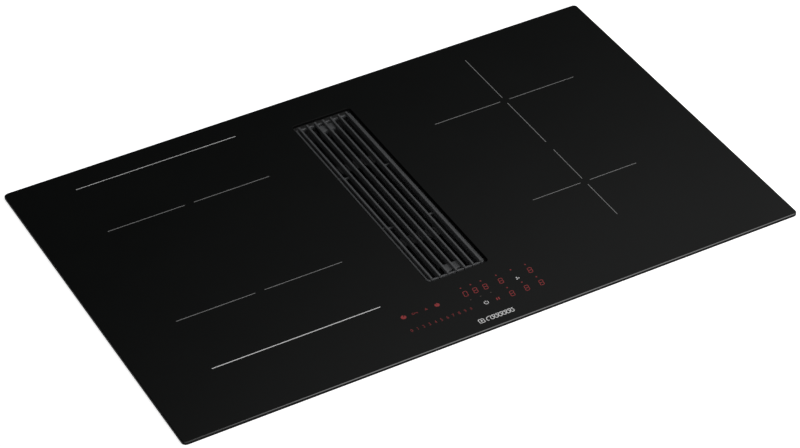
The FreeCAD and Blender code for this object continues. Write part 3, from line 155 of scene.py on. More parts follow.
def new_group(name, inputs, outputs):
    """An empty shader node group: inputs are names and defaults, outputs the names of its masks and
    heights."""
    tree = bpy.data.node_groups.new(name, "ShaderNodeTree")
    for key, value in inputs.items():
        socket = tree.interface.new_socket(name=key, in_out="INPUT", socket_type="NodeSocketFloat")
        socket.default_value = value
    for key in outputs:
        tree.interface.new_socket(name=key, in_out="OUTPUT", socket_type="NodeSocketFloat")
    return tree, tree.nodes.new("NodeGroupInput"), tree.nodes.new("NodeGroupOutput")


def place_group(tree, group, **inputs):
    """One use of a node group in a material, with its own values."""
    node = tree.nodes.new("ShaderNodeGroup")
    node.node_tree = group
    for key, value in inputs.items():
        node.inputs[key.replace("_", " ")].default_value = value
    return node


def object_place(tree):
    """The part's own coordinates."""
    return add_node(tree, "ShaderNodeTexCoord").outputs["Object"]


# Cloudy variation that every finish has: two sizes of noise on the part's own coordinates, as masks and a
# height.
grain, grain_in, grain_out = new_group("surface_grain", {"Cloud Scale": 20.0, "Grain Scale": 900.0,
                                                         "Grain Share": 0.5}, ("Cloud", "Grain", "Height"))
place = object_place(grain)
cloud = add_node(grain, "ShaderNodeTexNoise", {"Vector": place, "Scale": grain_in.outputs["Cloud Scale"],
                                               "Detail": 4.0, "Roughness": 0.6})
fine = add_node(grain, "ShaderNodeTexNoise", {"Vector": place, "Scale": grain_in.outputs["Grain Scale"],
                                              "Detail": 2.0, "Roughness": 0.5})
mixed = add_node(grain, "ShaderNodeMix", {"Factor": grain_in.outputs["Grain Share"],
                                          "A": cloud.outputs["Fac"], "B": fine.outputs["Fac"]})
grain.links.new(cloud.outputs["Fac"], grain_out.inputs["Cloud"])
grain.links.new(fine.outputs["Fac"], grain_out.inputs["Grain"])
grain.links.new(mixed.outputs["Result"], grain_out.inputs["Height"])

# Noise seldom leaves the middle of its range, so tone and gloss are read from these parts of it.
TONE_RANGE = (0.35, 0.65)
GLOSS_RANGE = (0.3, 0.7)
# A Mix node has sockets for each kind of data; these are the places of its colour ones.
MIX_FIRST, MIX_SECOND, MIX_RESULT = 6, 7, 2


def ramp(tree, source, low, high, at_low, at_high):
    """Output that runs from at_low to at_high as the source goes from low to high."""
    node = add_node(tree, "ShaderNodeMapRange", {"Value": source, "From Min": low, "From Max": high,
                                                 "To Min": at_low, "To Max": at_high})
    return node.outputs["Result"]


def calculate(tree, operation, *values):
    """Output of a Math node on numbers or outputs."""
    return add_node(tree, "ShaderNodeMath", dict(enumerate(values)), operation=operation).outputs["Value"]


def shade_between(tree, mask, dark, light):
    """Colour that goes from dark to light with a mask. Each is a colour or another node's output."""
    first, second = (end if isinstance(end, bpy.types.NodeSocket) else (*end, 1) for end in (dark, light))
    node = add_node(tree, "ShaderNodeMix", {"Factor": mask, MIX_FIRST: first, MIX_SECOND: second},
                    data_type="RGBA")
    return node.outputs[MIX_RESULT]


def colour_by(tree, shader, mask, dark, light):
    """Base colour that goes from dark to light with a mask."""
    tree.links.new(shade_between(tree, mask, dark, light), shader.inputs["Base Color"])


def gloss_by(tree, shader, mask, span, at_low, at_high):
    """Roughness that goes from at_low to at_high as the mask crosses the span."""
    tree.links.new(ramp(tree, mask, *span, at_low, at_high), shader.inputs["Roughness"])


def emboss(tree, shader, height, strength, depth):
    """Relief from a height, through a bump into the shader's normal."""
    relief = add_node(tree, "ShaderNodeBump", {"Strength": strength, "Distance": depth, "Height": height})
    tree.links.new(relief.outputs["Normal"], shader.inputs["Normal"])


glass_low, glass_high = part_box("glass_top")
glass_top = glass_high.z
glass_middle = (glass_low + glass_high) / 2
collar_low, collar_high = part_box("intake_collar")
COLLAR_LAND = 0.012
opening_middle = ((collar_low + collar_high) / 2).xy
opening_size = np.array((collar_high - collar_low).xy) - 2 * COLLAR_LAND

black_glass, tree, shader = new_material("black_glass_ceramic", IOR=1.52, Specular_IOR_Level=0.5)
smudge = place_group(tree, grain, Cloud_Scale=9.0, Grain_Scale=60.0, Grain_Share=0.3)
colour_by(tree, shader, smudge.outputs["Cloud"], (0.0026, 0.003, 0.0029), (0.004, 0.0045, 0.0043))
gloss_by(tree, shader, smudge.outputs["Height"], GLOSS_RANGE, 0.05, 0.085)

ground_glass, tree, shader = new_material("ground_glass_edge", Specular_IOR_Level=0.06)
grit = place_group(tree, grain, Cloud_Scale=300.0, Grain_Scale=4000.0, Grain_Share=0.6)
colour_by(tree, shader, grit.outputs["Height"], (0.001, 0.001, 0.001), (0.003, 0.003, 0.003))
gloss_by(tree, shader, grit.outputs["Grain"], GLOSS_RANGE, 0.45, 0.65)

rim_edge = ground_edge(RIM_ARRIS, POLISH_ROUND, glass_high.z, glass_low.z)
opening_edge = ground_edge(OPENING_ARRIS, POLISH_ROUND / 2, glass_high.z, glass_low.z)
points, faces = plate_with_opening(
    rounded_outline(glass_middle.xy, (glass_high - glass_low).xy, PLATE_CORNER),
    rounded_outline(opening_middle, opening_size, OPENING_CORNER), rim_edge, opening_edge)
glass_plate = mesh_piece("glass_plate", points, faces, black_glass)
glass_plate.data.materials.append(ground_glass)
step = np.arange(len(faces)) % (len(rim_edge) + len(opening_edge))
upright = (step >= len(rim_edge) - 2) & (step < len(rim_edge) + len(opening_edge) - 2)
glass_plate.data.polygons.foreach_set("material_index", upright.astype(int))
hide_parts("glass_top")
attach(glass_plate, "cooktop")

# ------------------------------------------------------------------------------------ zone marks
# The zones are marked with pale ceramic ink fired on the glass: two heavy lines close off the flexible area
# on the left, two broken hairlines give its pans' middles, and a hairline cross marks each round zone on
# the right. The rear heavy line is the finer of the two.
INK_THICK = 0.00006
REAR_HEAVY_Y, REAR_HEAVY_LINE = 0.2233, 0.0007
FRONT_HEAVY_Y, FRONT_HEAVY_LINE = -0.1622, 0.0012
HAIRLINE = 0.0009
FLEX_LEFT, FLEX_GAP_LEFT, FLEX_GAP_RIGHT, FLEX_RIGHT = -0.3322, -0.2283, -0.2161, -0.1122
FLEX_HAIR_Y = (0.1278, -0.0661)
CROSS_GAP = 0.0068
CROSSES = [((0.2225, 0.1187), 0.1030, 0.1025), ((0.2225, -0.0772), 0.0750, 0.0750)]


def stroke(path, width, low, high, closed=False):
    """A flat line of ink along a path: at each point, four corners half a width to either side at two
    heights, the sideways direction being the path's own direction turned a quarter and lengthened at
    corners."""
    path = np.asarray(path, float)
    ahead = np.roll(path, -1, 0) - path
    behind = path - np.roll(path, 1, 0)
    if not closed:
        ahead[-1], behind[0] = behind[-1], ahead[0]
    ahead /= np.linalg.norm(ahead, axis=1, keepdims=True)
    behind /= np.linalg.norm(behind, axis=1, keepdims=True)
    along = ahead + behind
    along /= np.linalg.norm(along, axis=1, keepdims=True)
    stretch = 1 / np.clip((along * ahead).sum(1, keepdims=True), 0.4, 1)
    side = np.stack([-along[:, 1], along[:, 0]], 1) * stretch * width / 2
    corners = np.stack([path + side, path - side, path - side, path + side], 1)
    heights = np.broadcast_to(np.array([high, high, low, low])[None, :, None], (len(path), 4, 1))
    points = np.concatenate([corners, heights], 2).reshape(-1, 3)
    faces = [list(f)[::-1] for f in grid_faces(len(path), 4, closed, True)]
    if not closed:
        last = 4 * (len(path) - 1)
        faces += [[3, 2, 1, 0], [last, last + 1, last + 2, last + 3]]
    return points, faces


def gather(shapes):
    """Several point and face sets as one."""
    start, points, faces = 0, [], []
    for shape_points, shape_faces in shapes:
        points.append(np.asarray(shape_points))
        faces += [[start + k for k in face] for face in shape_faces]
        start += len(shape_points)
    return np.concatenate(points), faces


def ink(paths, width, closed=False):
    """Strokes of ink lying on the glass."""
    return [stroke(path, width, glass_top, glass_top + INK_THICK, closed) for path in paths]


def on_the_glass(name, shapes, material):
    """A printed or lit mark that stays with the glass."""
    piece = mesh_piece(name, *gather(shapes), material)
    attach(piece, "cooktop")
    return piece


def ink_material(name, dark, light, roughness):
    """Fired ink: a little uneven in tone where the screen printing leaves it thinner."""
    material, tree, shader = new_material(name, Roughness=roughness)
    uneven = place_group(tree, grain, Cloud_Scale=160.0, Grain_Scale=2500.0, Grain_Share=0.5)
    colour_by(tree, shader, ramp(tree, uneven.outputs["Height"], *TONE_RANGE, 0, 1), dark, light)
    return material


white_ink = ink_material("white_ink", (0.62, 0.62, 0.62), (0.78, 0.78, 0.78), 0.45)
grey_ink = ink_material("grey_ink", (0.17, 0.17, 0.17), (0.26, 0.26, 0.26), 0.45)
hair_ends = ((FLEX_LEFT, FLEX_GAP_LEFT), (FLEX_GAP_RIGHT, FLEX_RIGHT))
hair = [[(a, y), (b, y)] for y in FLEX_HAIR_Y for a, b in hair_ends]
for (x, y), reach_x, reach_y in CROSSES:
    hair += [[(x + s * CROSS_GAP, y), (x + s * reach_x, y)] for s in (-1, 1)]
    hair += [[(x, y + s * CROSS_GAP), (x, y + s * reach_y)] for s in (-1, 1)]
heavy = ink([[(FLEX_LEFT, REAR_HEAVY_Y), (FLEX_RIGHT, REAR_HEAVY_Y)]], REAR_HEAVY_LINE)
heavy += ink([[(FLEX_LEFT, FRONT_HEAVY_Y), (FLEX_RIGHT, FRONT_HEAVY_Y)]], FRONT_HEAVY_LINE)
on_the_glass("zone_lines", heavy, white_ink)
on_the_glass("zone_hairlines", ink(hair, HAIRLINE), grey_ink)

# ------------------------------------------------------------------------------------ lit figures
# Red seven-segment figures shine up through the glass: timer and levels in two rows. Each segment is a bar
# with pointed ends, and each figure leans a little to the right. Round lamps sit above them.
FIGURE_SIZE = (0.005, 0.0088)
FIGURE_LEAN = math.tan(math.radians(9))
SEGMENT_WIDTH = 0.0009
SEGMENT_GAP = 0.0002
LAMP_RADIUS = 0.0011
UNLIT_SHARE = 0.15
DIM_SHARE = 0.7
REAR_ROW_Y, FRONT_ROW_Y = -0.1915, -0.2180
REAR_LAMP_Y, FRONT_LAMP_Y = -0.1796, -0.2060
TIMER_X = (-0.0134, 0.0, 0.0138)
LEVEL_X = (0.0350, 0.0552, 0.0753)


def segment(a, b):
    """One bar of a figure from a to b, its ends pointed at 45 degrees, as a thin prism."""
    a, b = np.array(a, float), np.array(b, float)
    along = (b - a) / np.linalg.norm(b - a)
    side = np.array([-along[1], along[0]]) * SEGMENT_WIDTH / 2
    tip = along * SEGMENT_WIDTH / 2
    start, end = a + along * SEGMENT_GAP, b - along * SEGMENT_GAP
    outline = np.array([start, start + tip - side, end - tip - side, end, end - tip + side,
                        start + tip + side])
    return flat_shape(outline)


def flat_shape(outline):
    """A thin prism on the glass from an anticlockwise outline."""
    n = len(outline)
    low = np.column_stack([outline, np.full(n, glass_top)])
    high = np.column_stack([outline, np.full(n, glass_top + INK_THICK)])
    walls = [[k, (k + 1) % n, n + (k + 1) % n, n + k] for k in range(n)]
    return np.vstack([low, high]), [list(range(n))[::-1], list(range(n, 2 * n))] + walls


def disc_outline(x, y, radius, steps=20):
    """A circle as an outline."""
    t = np.arange(steps) * 2 * math.pi / steps
    return np.stack([x + radius * np.cos(t), y + radius * np.sin(t)], 1)


def figure(x, y, middle_bar=True):
    """The bars of a lit 8, or of a 0 without its middle bar, leaning with height."""
    w, h = FIGURE_SIZE[0] / 2, FIGURE_SIZE[1] / 2
    knots = {(i, j): (x + i * w + j * h * FIGURE_LEAN, y + j * h) for i in (-1, 1) for j in (-1, 0, 1)}
    bars = [((-1, j), (1, j)) for j in (-1, 1) + ((0,) if middle_bar else ())]
    bars += [((i, j), (i, j + 1)) for i in (-1, 1) for j in (-1, 0)]
    return [segment(knots[a], knots[b]) for a, b in bars]


def lamp_material(name, colour, strength):
    """A lit mark: its light is a little uneven, as a diffused lamp's is."""
    unlit = [c * UNLIT_SHARE for c in colour]
    material, tree, shader = new_material(name, Base_Color=(*unlit, 1), Roughness=0.3,
                                          Emission_Strength=strength)
    uneven = place_group(tree, grain, Cloud_Scale=700.0, Grain_Scale=2400.0, Grain_Share=0.3)
    dim = [c * DIM_SHARE for c in colour]
    lit = shade_between(tree, ramp(tree, uneven.outputs["Height"], *TONE_RANGE, 0, 1), dim, colour)
    tree.links.new(lit, shader.inputs["Emission Color"])
    return material


red_light = lamp_material("red_light", (1.0, 0.14, 0.15), 0.11)
red_glow = lamp_material("red_glow", (1.0, 0.14, 0.15), 0.06)
figures = figure(TIMER_X[0], REAR_ROW_Y, middle_bar=False)
for x in TIMER_X[1:] + (LEVEL_X[0], LEVEL_X[2]):
    figures += figure(x, REAR_ROW_Y)
for x in LEVEL_X:
    figures += figure(x, FRONT_ROW_Y)
on_the_glass("lit_figures", figures, red_light)
lamps = [flat_shape(disc_outline(x, REAR_LAMP_Y, LAMP_RADIUS)) for x in TIMER_X + LEVEL_X]
lamps += [flat_shape(disc_outline(x, FRONT_LAMP_Y, LAMP_RADIUS)) for x in LEVEL_X]
on_the_glass("lit_lamps", lamps, red_glow)

# ------------------------------------------------------------------------------------ touch keys
# The power slider is a row of small figures with a boost arrow at its end; above it are four round and
# pictured keys. The white symbols for power and for the extractor are printed, and stay visible when the
# panel is dark.
SLIDER_X, SLIDER_PITCH = -0.1006, 0.00796
SLIDER_FIGURES = "0123456789"
SLIDER_TALL = 0.0072
SLIDER_SLIM = 0.8
FINE_LINE = 0.0006
SYMBOL_LINE = 0.0008
BOOST_HALF, BOOST_RISE = 0.0012, 0.0014
BOOST_STEPS = (-0.0018, 0.0004)
KEY_ROW_Y = -0.1924
KEY_X = (-0.0975, -0.0825, -0.0675, -0.0525)
TIMER_DISC, STOP_DISC = (0.0034, 70, 405), (0.0032, 115, 450)
LOCK_RING_X, LOCK_RING = -0.0022, (0.0014, 15, 345)
LOCK_STEM_X, LOCK_BITS_X, LOCK_BIT = (-0.0008, 0.0040), (0.0024, 0.0037), 0.0014
LOCK_STEM_LINE = FINE_LINE * 1.3
PEAK_HALF, PEAK_TALL, PEAK_FOOT_UP = 0.0017, 0.0036, 0.0005
FOOT_HALF = 0.0012
PAUSE_AT = (0.0154, -0.2180)
PAUSE_BAR, PAUSE_BARS_X, PAUSE_LEAN = (0.0016, 0.0042), (-0.0016, 0.0012), 0.0006
POWER_AT = (0.0, -0.2174)
POWER_RING, POWER_STROKE_Y = (0.0026, 118, 422), (0.0006, 0.0034)
FAN_AT = (0.0546, -0.1970)
FAN_RADIUS = 0.0029
PETAL_AT = (90, 210, 330)
PETAL_START, PETAL_HALF, PETAL_SWEEP = 0.18, 0.32, 0.4
PETAL_STEPS = 9
DARK_LAMP_RISE, DARK_LAMP_SHARE = 0.002, 0.8


def printed_text(text, x, y, tall, slim):
    """A run of figures centred on x, y, lying on the glass, as points and faces."""
    curve = bpy.data.curves.new("figure_text", "FONT")
    curve.body, curve.size, curve.align_x, curve.align_y = text, tall, "CENTER", "CENTER"
    curve.extrude, curve.resolution_u = INK_THICK / 2, 3
    holder = bpy.data.objects.new("figure_text", curve)
    mesh = bpy.data.meshes.new_from_object(holder)
    points = np.zeros(len(mesh.vertices) * 3)
    mesh.vertices.foreach_get("co", points)
    points = points.reshape(-1, 3)
    middle = (points.min(0) + points.max(0)) / 2
    points = (points - middle) * (slim, 1, 1) + (x, y, glass_top + INK_THICK / 2)
    faces = [list(face.vertices) for face in mesh.polygons]
    bpy.data.objects.remove(holder)
    bpy.data.meshes.remove(mesh)
    return points, faces


def arc_path(x, y, radius, start, end, steps=24):
    """Points along a circle's arc between two angles in degrees."""
    t = np.radians(np.linspace(start, end, steps))
    return np.stack([x + radius * np.cos(t), y + radius * np.sin(t)], 1)


def notched_disc(x, y, radius, start, end):
    """A filled disc with a slice left out, from its middle."""
    return flat_shape(np.vstack([arc_path(x, y, radius, start, end), [[x, y]]]))


def fan_blades(x, y, radius):
    """Three filled petals round a middle. Along its length s, a petal's half width is a share of the radius
    times sin(pi * s ** 0.8), and it is swept to one side."""
    petals = []
    for turn in np.radians(PETAL_AT):
        s = np.linspace(0, 1, PETAL_STEPS)
        half = PETAL_HALF * radius * np.sin(math.pi * s ** 0.8)
        along = PETAL_START * radius + (1 - PETAL_START) * radius * s
        side_a = np.stack([along, -half * PETAL_SWEEP], 1)
        side_b = np.stack([along, half * (2 - PETAL_SWEEP)], 1)[::-1][1:-1]
        local = np.vstack([side_a, side_b])
        spin = np.array([[math.cos(turn), math.sin(turn)], [-math.sin(turn), math.cos(turn)]])
        petals.append(flat_shape(local @ spin + (x, y)))
    return petals


def leaning_bar(x, y):
    """One bar of the pause sign, its top moved to the right."""
    w, h = PAUSE_BAR[0] / 2, PAUSE_BAR[1] / 2
    return flat_shape(np.array([(x - w, y - h), (x + w, y - h), (x + w + PAUSE_LEAN, y + h),
                                (x - w + PAUSE_LEAN, y + h)]))


slider = [printed_text(digit, SLIDER_X + n * SLIDER_PITCH, FRONT_ROW_Y, SLIDER_TALL, SLIDER_SLIM)
          for n, digit in enumerate(SLIDER_FIGURES)]
boost_x = SLIDER_X + len(SLIDER_FIGURES) * SLIDER_PITCH
for step_y in BOOST_STEPS:
    foot_y = FRONT_ROW_Y + step_y
    slider += ink([[(boost_x - BOOST_HALF, foot_y), (boost_x, foot_y + BOOST_RISE),
                    (boost_x + BOOST_HALF, foot_y)]], FINE_LINE)
on_the_glass("slider_figures", slider, red_glow)

timer_x, lock_x, peak_x, stop_x = KEY_X
keys = [notched_disc(timer_x, KEY_ROW_Y, *TIMER_DISC), notched_disc(stop_x, KEY_ROW_Y, *STOP_DISC)]
keys += [leaning_bar(PAUSE_AT[0] + x, PAUSE_AT[1]) for x in PAUSE_BARS_X]
on_the_glass("lit_keys", keys, red_light)
small_keys = ink([arc_path(lock_x + LOCK_RING_X, KEY_ROW_Y, *LOCK_RING)], FINE_LINE)
small_keys += ink([[(lock_x + x, KEY_ROW_Y) for x in LOCK_STEM_X]], LOCK_STEM_LINE)
small_keys += ink([[(lock_x + x, KEY_ROW_Y), (lock_x + x, KEY_ROW_Y - LOCK_BIT)] for x in LOCK_BITS_X],
                  FINE_LINE)
peak_low = KEY_ROW_Y - PEAK_TALL / 2
small_keys += ink([[(peak_x - PEAK_HALF, peak_low), (peak_x, peak_low + PEAK_TALL),
                    (peak_x + PEAK_HALF, peak_low)]], FINE_LINE)
foot_y = peak_low + PEAK_FOOT_UP
small_keys += ink([[(peak_x - FOOT_HALF, foot_y), (peak_x + FOOT_HALF, foot_y)]], FINE_LINE)
on_the_glass("small_lit_keys", small_keys, red_glow)

symbols = ink([arc_path(*POWER_AT, *POWER_RING)], SYMBOL_LINE)
symbols += ink([[(POWER_AT[0], POWER_AT[1] + y) for y in POWER_STROKE_Y]], SYMBOL_LINE)
symbols += fan_blades(*FAN_AT, FAN_RADIUS)
on_the_glass("white_symbols", symbols, white_ink)

# Small lamps that are dark in use show as faint dots under the timer's figures.
dark_lamp = ink_material("dark_lamp", (0.05, 0.04, 0.035), (0.09, 0.07, 0.06), 0.3)
dark_dots = [flat_shape(disc_outline(x, FRONT_LAMP_Y + DARK_LAMP_RISE, LAMP_RADIUS * DARK_LAMP_SHARE))
             for x in TIMER_X]
on_the_glass("dark_lamps", dark_dots, dark_lamp)

# ------------------------------------------------------------------------------------ coil mark
# A plain ornament is printed at the front: a framed dot, and beside it a run of overlapping loops like the
# sign for a coil.
MARK_Y = -0.2436
MARK_TALL = 0.0066
FRAME_X = -0.0215
LOOP_START_X, LOOP_END_X, LOOP_COUNT = -0.0128, 0.0222, 7
MARK_LINE = 0.00095
FRAME_CORNER, FRAME_CORNER_STEPS = 0.0012, 4
DOT_RADIUS = 0.0013
LOOP_HALF_WIDE, LOOP_STEPS = 0.0034, 24

frame_outline, _ = rounded_outline((FRAME_X, MARK_Y), (MARK_TALL, MARK_TALL), FRAME_CORNER,
                                   FRAME_CORNER_STEPS)
mark = ink([frame_outline], MARK_LINE, closed=True)
mark.append(flat_shape(disc_outline(FRAME_X, MARK_Y, DOT_RADIUS)))
turn = np.linspace(-QUARTER_TURN, (4 * LOOP_COUNT - 3) * QUARTER_TURN, LOOP_STEPS * LOOP_COUNT)
travel = np.linspace(LOOP_START_X, LOOP_END_X, len(turn))
loops = np.stack([travel - LOOP_HALF_WIDE * np.cos(turn), MARK_Y + MARK_TALL / 2 * np.sin(turn)], 1)
mark += ink([loops], MARK_LINE)
on_the_glass("coil_mark", mark, white_ink)

# ------------------------------------------------------------------------------------ grille
# The lift-out grille is one casting, blasted and coated matt dark grey: seven long bars flush with the
# glass on a lower rim, a pad across the middle bars at each end, and short webs that stiffen the outer
# bars.
BAR_COUNT = 7
BAR_WIDTH = 0.0026
BAR_ROUND = 0.00045
RIM_WIDTH = 0.0026
RIM_TO_BAR = 0.0015
RIM_DROP = 0.0034
RIM_THICK = 0.003
SEAT_GAP = 0.0005
POCKET_CORNER = 0.003
PAD_LONG = 0.0125
PAD_DROP = 0.0006
WEB_DROP = 0.0026
WEB_WIDTH = 0.002
WEB_FROM_MIDDLE = 0.057
BAR_CORNER = BAR_ROUND * 1.5
WEB_ROUND = BAR_ROUND * 0.9
PAD_CORNER = 0.0008
RIM_CORNER = 0.003
RIM_EDGE_ARRIS, RIM_EDGE_ROUND = 0.0004, 0.0003


def rounded_block(middle, size, low, high, corner, edge, steps=4):
    """A block whose plan is a rounded rectangle and whose top and bottom edges are quarter arcs: each ring
    is the outline drawn in by edge * (1 - cos t) at a height of edge * (1 - sin t) from its face."""
    outline, outward = rounded_outline(middle, size, corner, steps)
    t = np.linspace(0, QUARTER_TURN, steps)
    inset = np.concatenate([edge * (1 - np.sin(t)), edge * (1 - np.cos(t))])
    height = np.concatenate([low + edge * (1 - np.cos(t)), high - edge * (1 - np.sin(t))])
    plan = outline[None] - outward[None] * inset[:, None, None]
    points = np.concatenate([plan, np.broadcast_to(height[:, None, None], plan.shape[:2] + (1,))], 2)
    n, rings = len(outline), len(height)
    faces = [list(f)[::-1] for f in grid_faces(rings, n, False, True)]
    return points.reshape(-1, 3), faces + [list(range(n))[::-1], list(range((rings - 1) * n, rings * n))]


# Edges are made paler. This is partly the wear of a thin coat, which wears or thins first along outside
# edges, and partly a painted highlight where an edge would catch the light. The bent normal of a Bevel node
# differs from the face's own there, and the difference, broken up by noise, is the mask.
BENT_FROM, BENT_FULLY = 0.99, 0.85
EDGE_PATCH = 6
# Paler edges: partly wear, partly a painted highlight.
edge_wear_and_highlight, wear_highlight_in, wear_highlight_out = new_group("edge_wear_and_highlight", {"Width": 0.0006, "Noise Scale": 300.0}, ("Mask",))
bent = add_node(edge_wear_and_highlight, "ShaderNodeBevel", {"Radius": wear_highlight_in.outputs["Width"]}, samples=4)
flat = add_node(edge_wear_and_highlight, "ShaderNodeNewGeometry")
bend = add_node(edge_wear_and_highlight, "ShaderNodeVectorMath", {0: bent.outputs["Normal"],
                                                    1: flat.outputs["True Normal"]},
                operation="DOT_PRODUCT")
patchy = add_node(edge_wear_and_highlight, "ShaderNodeTexNoise", {"Vector": object_place(edge_wear_and_highlight),
                                                    "Scale": wear_highlight_in.outputs["Noise Scale"], "Detail": 3.0})
wear_and_highlight_mask = calculate(edge_wear_and_highlight, "MULTIPLY", ramp(edge_wear_and_highlight, bend.outputs["Value"], BENT_FROM, BENT_FULLY, 0, 1),
                 ramp(edge_wear_and_highlight, patchy.outputs["Fac"], 0.35, 0.6, 0.25, 1))
edge_wear_and_highlight.links.new(wear_and_highlight_mask, wear_highlight_out.inputs["Mask"])


def finish(name, dark, light, rough, cloud=20.0, fine=900.0, share=0.5, bump=0.2, depth=0.0002, wear_and_highlight_to=None,
           edge_width=0.0006, **inputs):
    """A finish with cloudy tone and gloss, fine relief, and optionally a paler colour on its edges, partly
    wear and partly a painted highlight.
    """
    material, tree, shader = new_material(name, **inputs)
    surface = place_group(tree, grain, Cloud_Scale=cloud, Grain_Scale=fine, Grain_Share=share)
    tone = shade_between(tree, ramp(tree, surface.outputs["Height"], *TONE_RANGE, 0, 1), dark, light)
    # Paler edges: partly wear, partly a painted highlight.
    if wear_and_highlight_to:
        wear_and_highlight = place_group(tree, edge_wear_and_highlight, Width=edge_width, Noise_Scale=1 / (edge_width * EDGE_PATCH))
        tone = shade_between(tree, wear_and_highlight.outputs["Mask"], tone, wear_and_highlight_to)
    tree.links.new(tone, shader.inputs["Base Color"])
    gloss_by(tree, shader, surface.outputs["Cloud"], GLOSS_RANGE, *rough)
    emboss(tree, shader, surface.outputs["Grain"], bump, depth)
    return material


# The coat's paler edges are partly wear and partly a painted highlight.
cast_coat = finish("matt_cast_coat", (0.052, 0.054, 0.056), (0.075, 0.077, 0.08), (0.42, 0.55), cloud=60.0,
                   fine=2600.0, share=0.6, bump=0.35, depth=0.0002, wear_and_highlight_to=(0.12, 0.122, 0.125),
                   edge_width=0.0005)

grille_low, grille_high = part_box("grille")
grille_middle = ((grille_low + grille_high) / 2).xy
grille_size = (grille_high - grille_low).xy
rim_top = grille_high.z - RIM_DROP
rim_under = rim_top - RIM_THICK
rim_in = (grille_size[0] - 2 * RIM_WIDTH, grille_size[1] - 2 * RIM_WIDTH)
bar_pitch = (rim_in[0] - 2 * RIM_TO_BAR - BAR_WIDTH) / (BAR_COUNT - 1)
bar_x = [grille_middle[0] + (n - (BAR_COUNT - 1) / 2) * bar_pitch for n in range(BAR_COUNT)]
hang_long = rim_in[1] - 2 * SEAT_GAP - 2 * POCKET_CORNER
web_top = rim_top - WEB_DROP
castings = []
for x in bar_x:
    castings.append(rounded_block((x, grille_middle[1]), (BAR_WIDTH, grille_size[1]), rim_under,
                                  grille_high.z, BAR_CORNER, BAR_ROUND))
    castings.append(rounded_block((x, grille_middle[1]), (BAR_WIDTH, hang_long), grille_low.z,
                                  rim_under + 2 * BAR_ROUND, BAR_CORNER, BAR_ROUND))
inner_reach = bar_x[BAR_COUNT // 2 + 1] + BAR_WIDTH / 2 - grille_middle[0]
for end in (-1, 1):
    pad_y = grille_middle[1] + end * (hang_long - PAD_LONG) / 2
    castings.append(rounded_block((grille_middle[0], pad_y), (2 * inner_reach, PAD_LONG), grille_low.z,
                                  rim_top - PAD_DROP, PAD_CORNER, BAR_ROUND))
    for side in (-1, 1):
        web_x = grille_middle[0] + side * (bar_x[-1] + bar_x[-2]) / 2
        web_y = grille_middle[1] + end * WEB_FROM_MIDDLE
        castings.append(rounded_block((web_x, web_y), (bar_pitch, WEB_WIDTH), grille_low.z, web_top,
                                      BAR_ROUND, WEB_ROUND))
        ear_x = grille_middle[0] + side * (bar_x[-1] + rim_in[0] / 2 + RIM_WIDTH / 2) / 2
        castings.append(rounded_block((ear_x, web_y), (rim_in[0] / 2 + RIM_WIDTH / 2 - bar_x[-1], WEB_WIDTH),
                                      rim_under, rim_top, BAR_ROUND, WEB_ROUND))
rim_edge = ground_edge(RIM_EDGE_ARRIS, RIM_EDGE_ROUND, rim_top, rim_under)
castings.append(plate_with_opening(rounded_outline(grille_middle, grille_size, RIM_CORNER),
                                   rounded_outline(grille_middle, rim_in, RIM_CORNER), rim_edge, rim_edge))
cast_grille = mesh_piece("cast_grille", *gather(castings), cast_coat)
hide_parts("grille")
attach(cast_grille, "grille")

# ------------------------------------------------------------------------------------ intake
# Under the opening hangs a black-coated die-cast collar. The grease filter drops into it: a folded basket
# round a pack of pressed wire mesh, both coloured near-black as painted shade, standing in for the shade deep
# in the well. Below, a moulded tray catches spills.
LAY_SCALE = 60.0
WIRE_PITCH = 0.0022
WAVE_TO_PITCH = 0.314


def dress(material, *names):
    """Gives CAD nodes a finish in their own material slots."""
    for name in names:
        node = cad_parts[name]
        if not node.material_slots:
            node.data.materials.append(material)
        for holder in node.material_slots:
            holder.material = material


dress(finish("collar_coat", (0.012, 0.012, 0.012), (0.022, 0.022, 0.022), (0.4, 0.6), cloud=50.0, fine=1800.0,
             wear_and_highlight_to=(0.06, 0.06, 0.06)), "intake_collar")


def drawn_metal(name, dark, light, rough, lay, stretch=40.0, **inputs):
    """Sheet or bar metal with the fine lay of its rolling or brushing: noise stretched along one axis. Its
    edges are paler, partly wear and partly a painted highlight.
    """
    material, tree, shader = new_material(name, Metallic=1.0, **inputs)
    squeeze = [LAY_SCALE * stretch if axis != lay else LAY_SCALE for axis in range(3)]
    laid = add_node(tree, "ShaderNodeMapping", {"Vector": object_place(tree), "Scale": squeeze})
    lines = add_node(tree, "ShaderNodeTexNoise", {"Vector": laid.outputs["Vector"], "Scale": 1.0,
                                                  "Detail": 5.0})
    surface = place_group(tree, grain, Cloud_Scale=14.0, Grain_Scale=400.0, Grain_Share=0.4)
    # Paler edges: partly wear, partly a painted highlight.
    wear_and_highlight = place_group(tree, edge_wear_and_highlight, Width=0.0005, Noise_Scale=200.0)
    both = calculate(tree, "ADD", ramp(tree, lines.outputs["Fac"], *GLOSS_RANGE, 0, 0.6),
                     ramp(tree, surface.outputs["Cloud"], *GLOSS_RANGE, 0, 0.4))
    colour_by(tree, shader, calculate(tree, "MAXIMUM", both, wear_and_highlight.outputs["Mask"]), dark, light)
    gloss_by(tree, shader, lines.outputs["Fac"], GLOSS_RANGE, *rough)
    emboss(tree, shader, lines.outputs["Fac"], 0.12, 0.0001)
    return material


# The filter basket's near-black colour is painted shade of the deep well.
dress(finish("filter_painted_shade", (0.009, 0.009, 0.0095), (0.016, 0.016, 0.017), (0.45, 0.6), cloud=45.0,
             fine=2000.0, wear_and_highlight_to=(0.03, 0.03, 0.032)), "filter_frame")


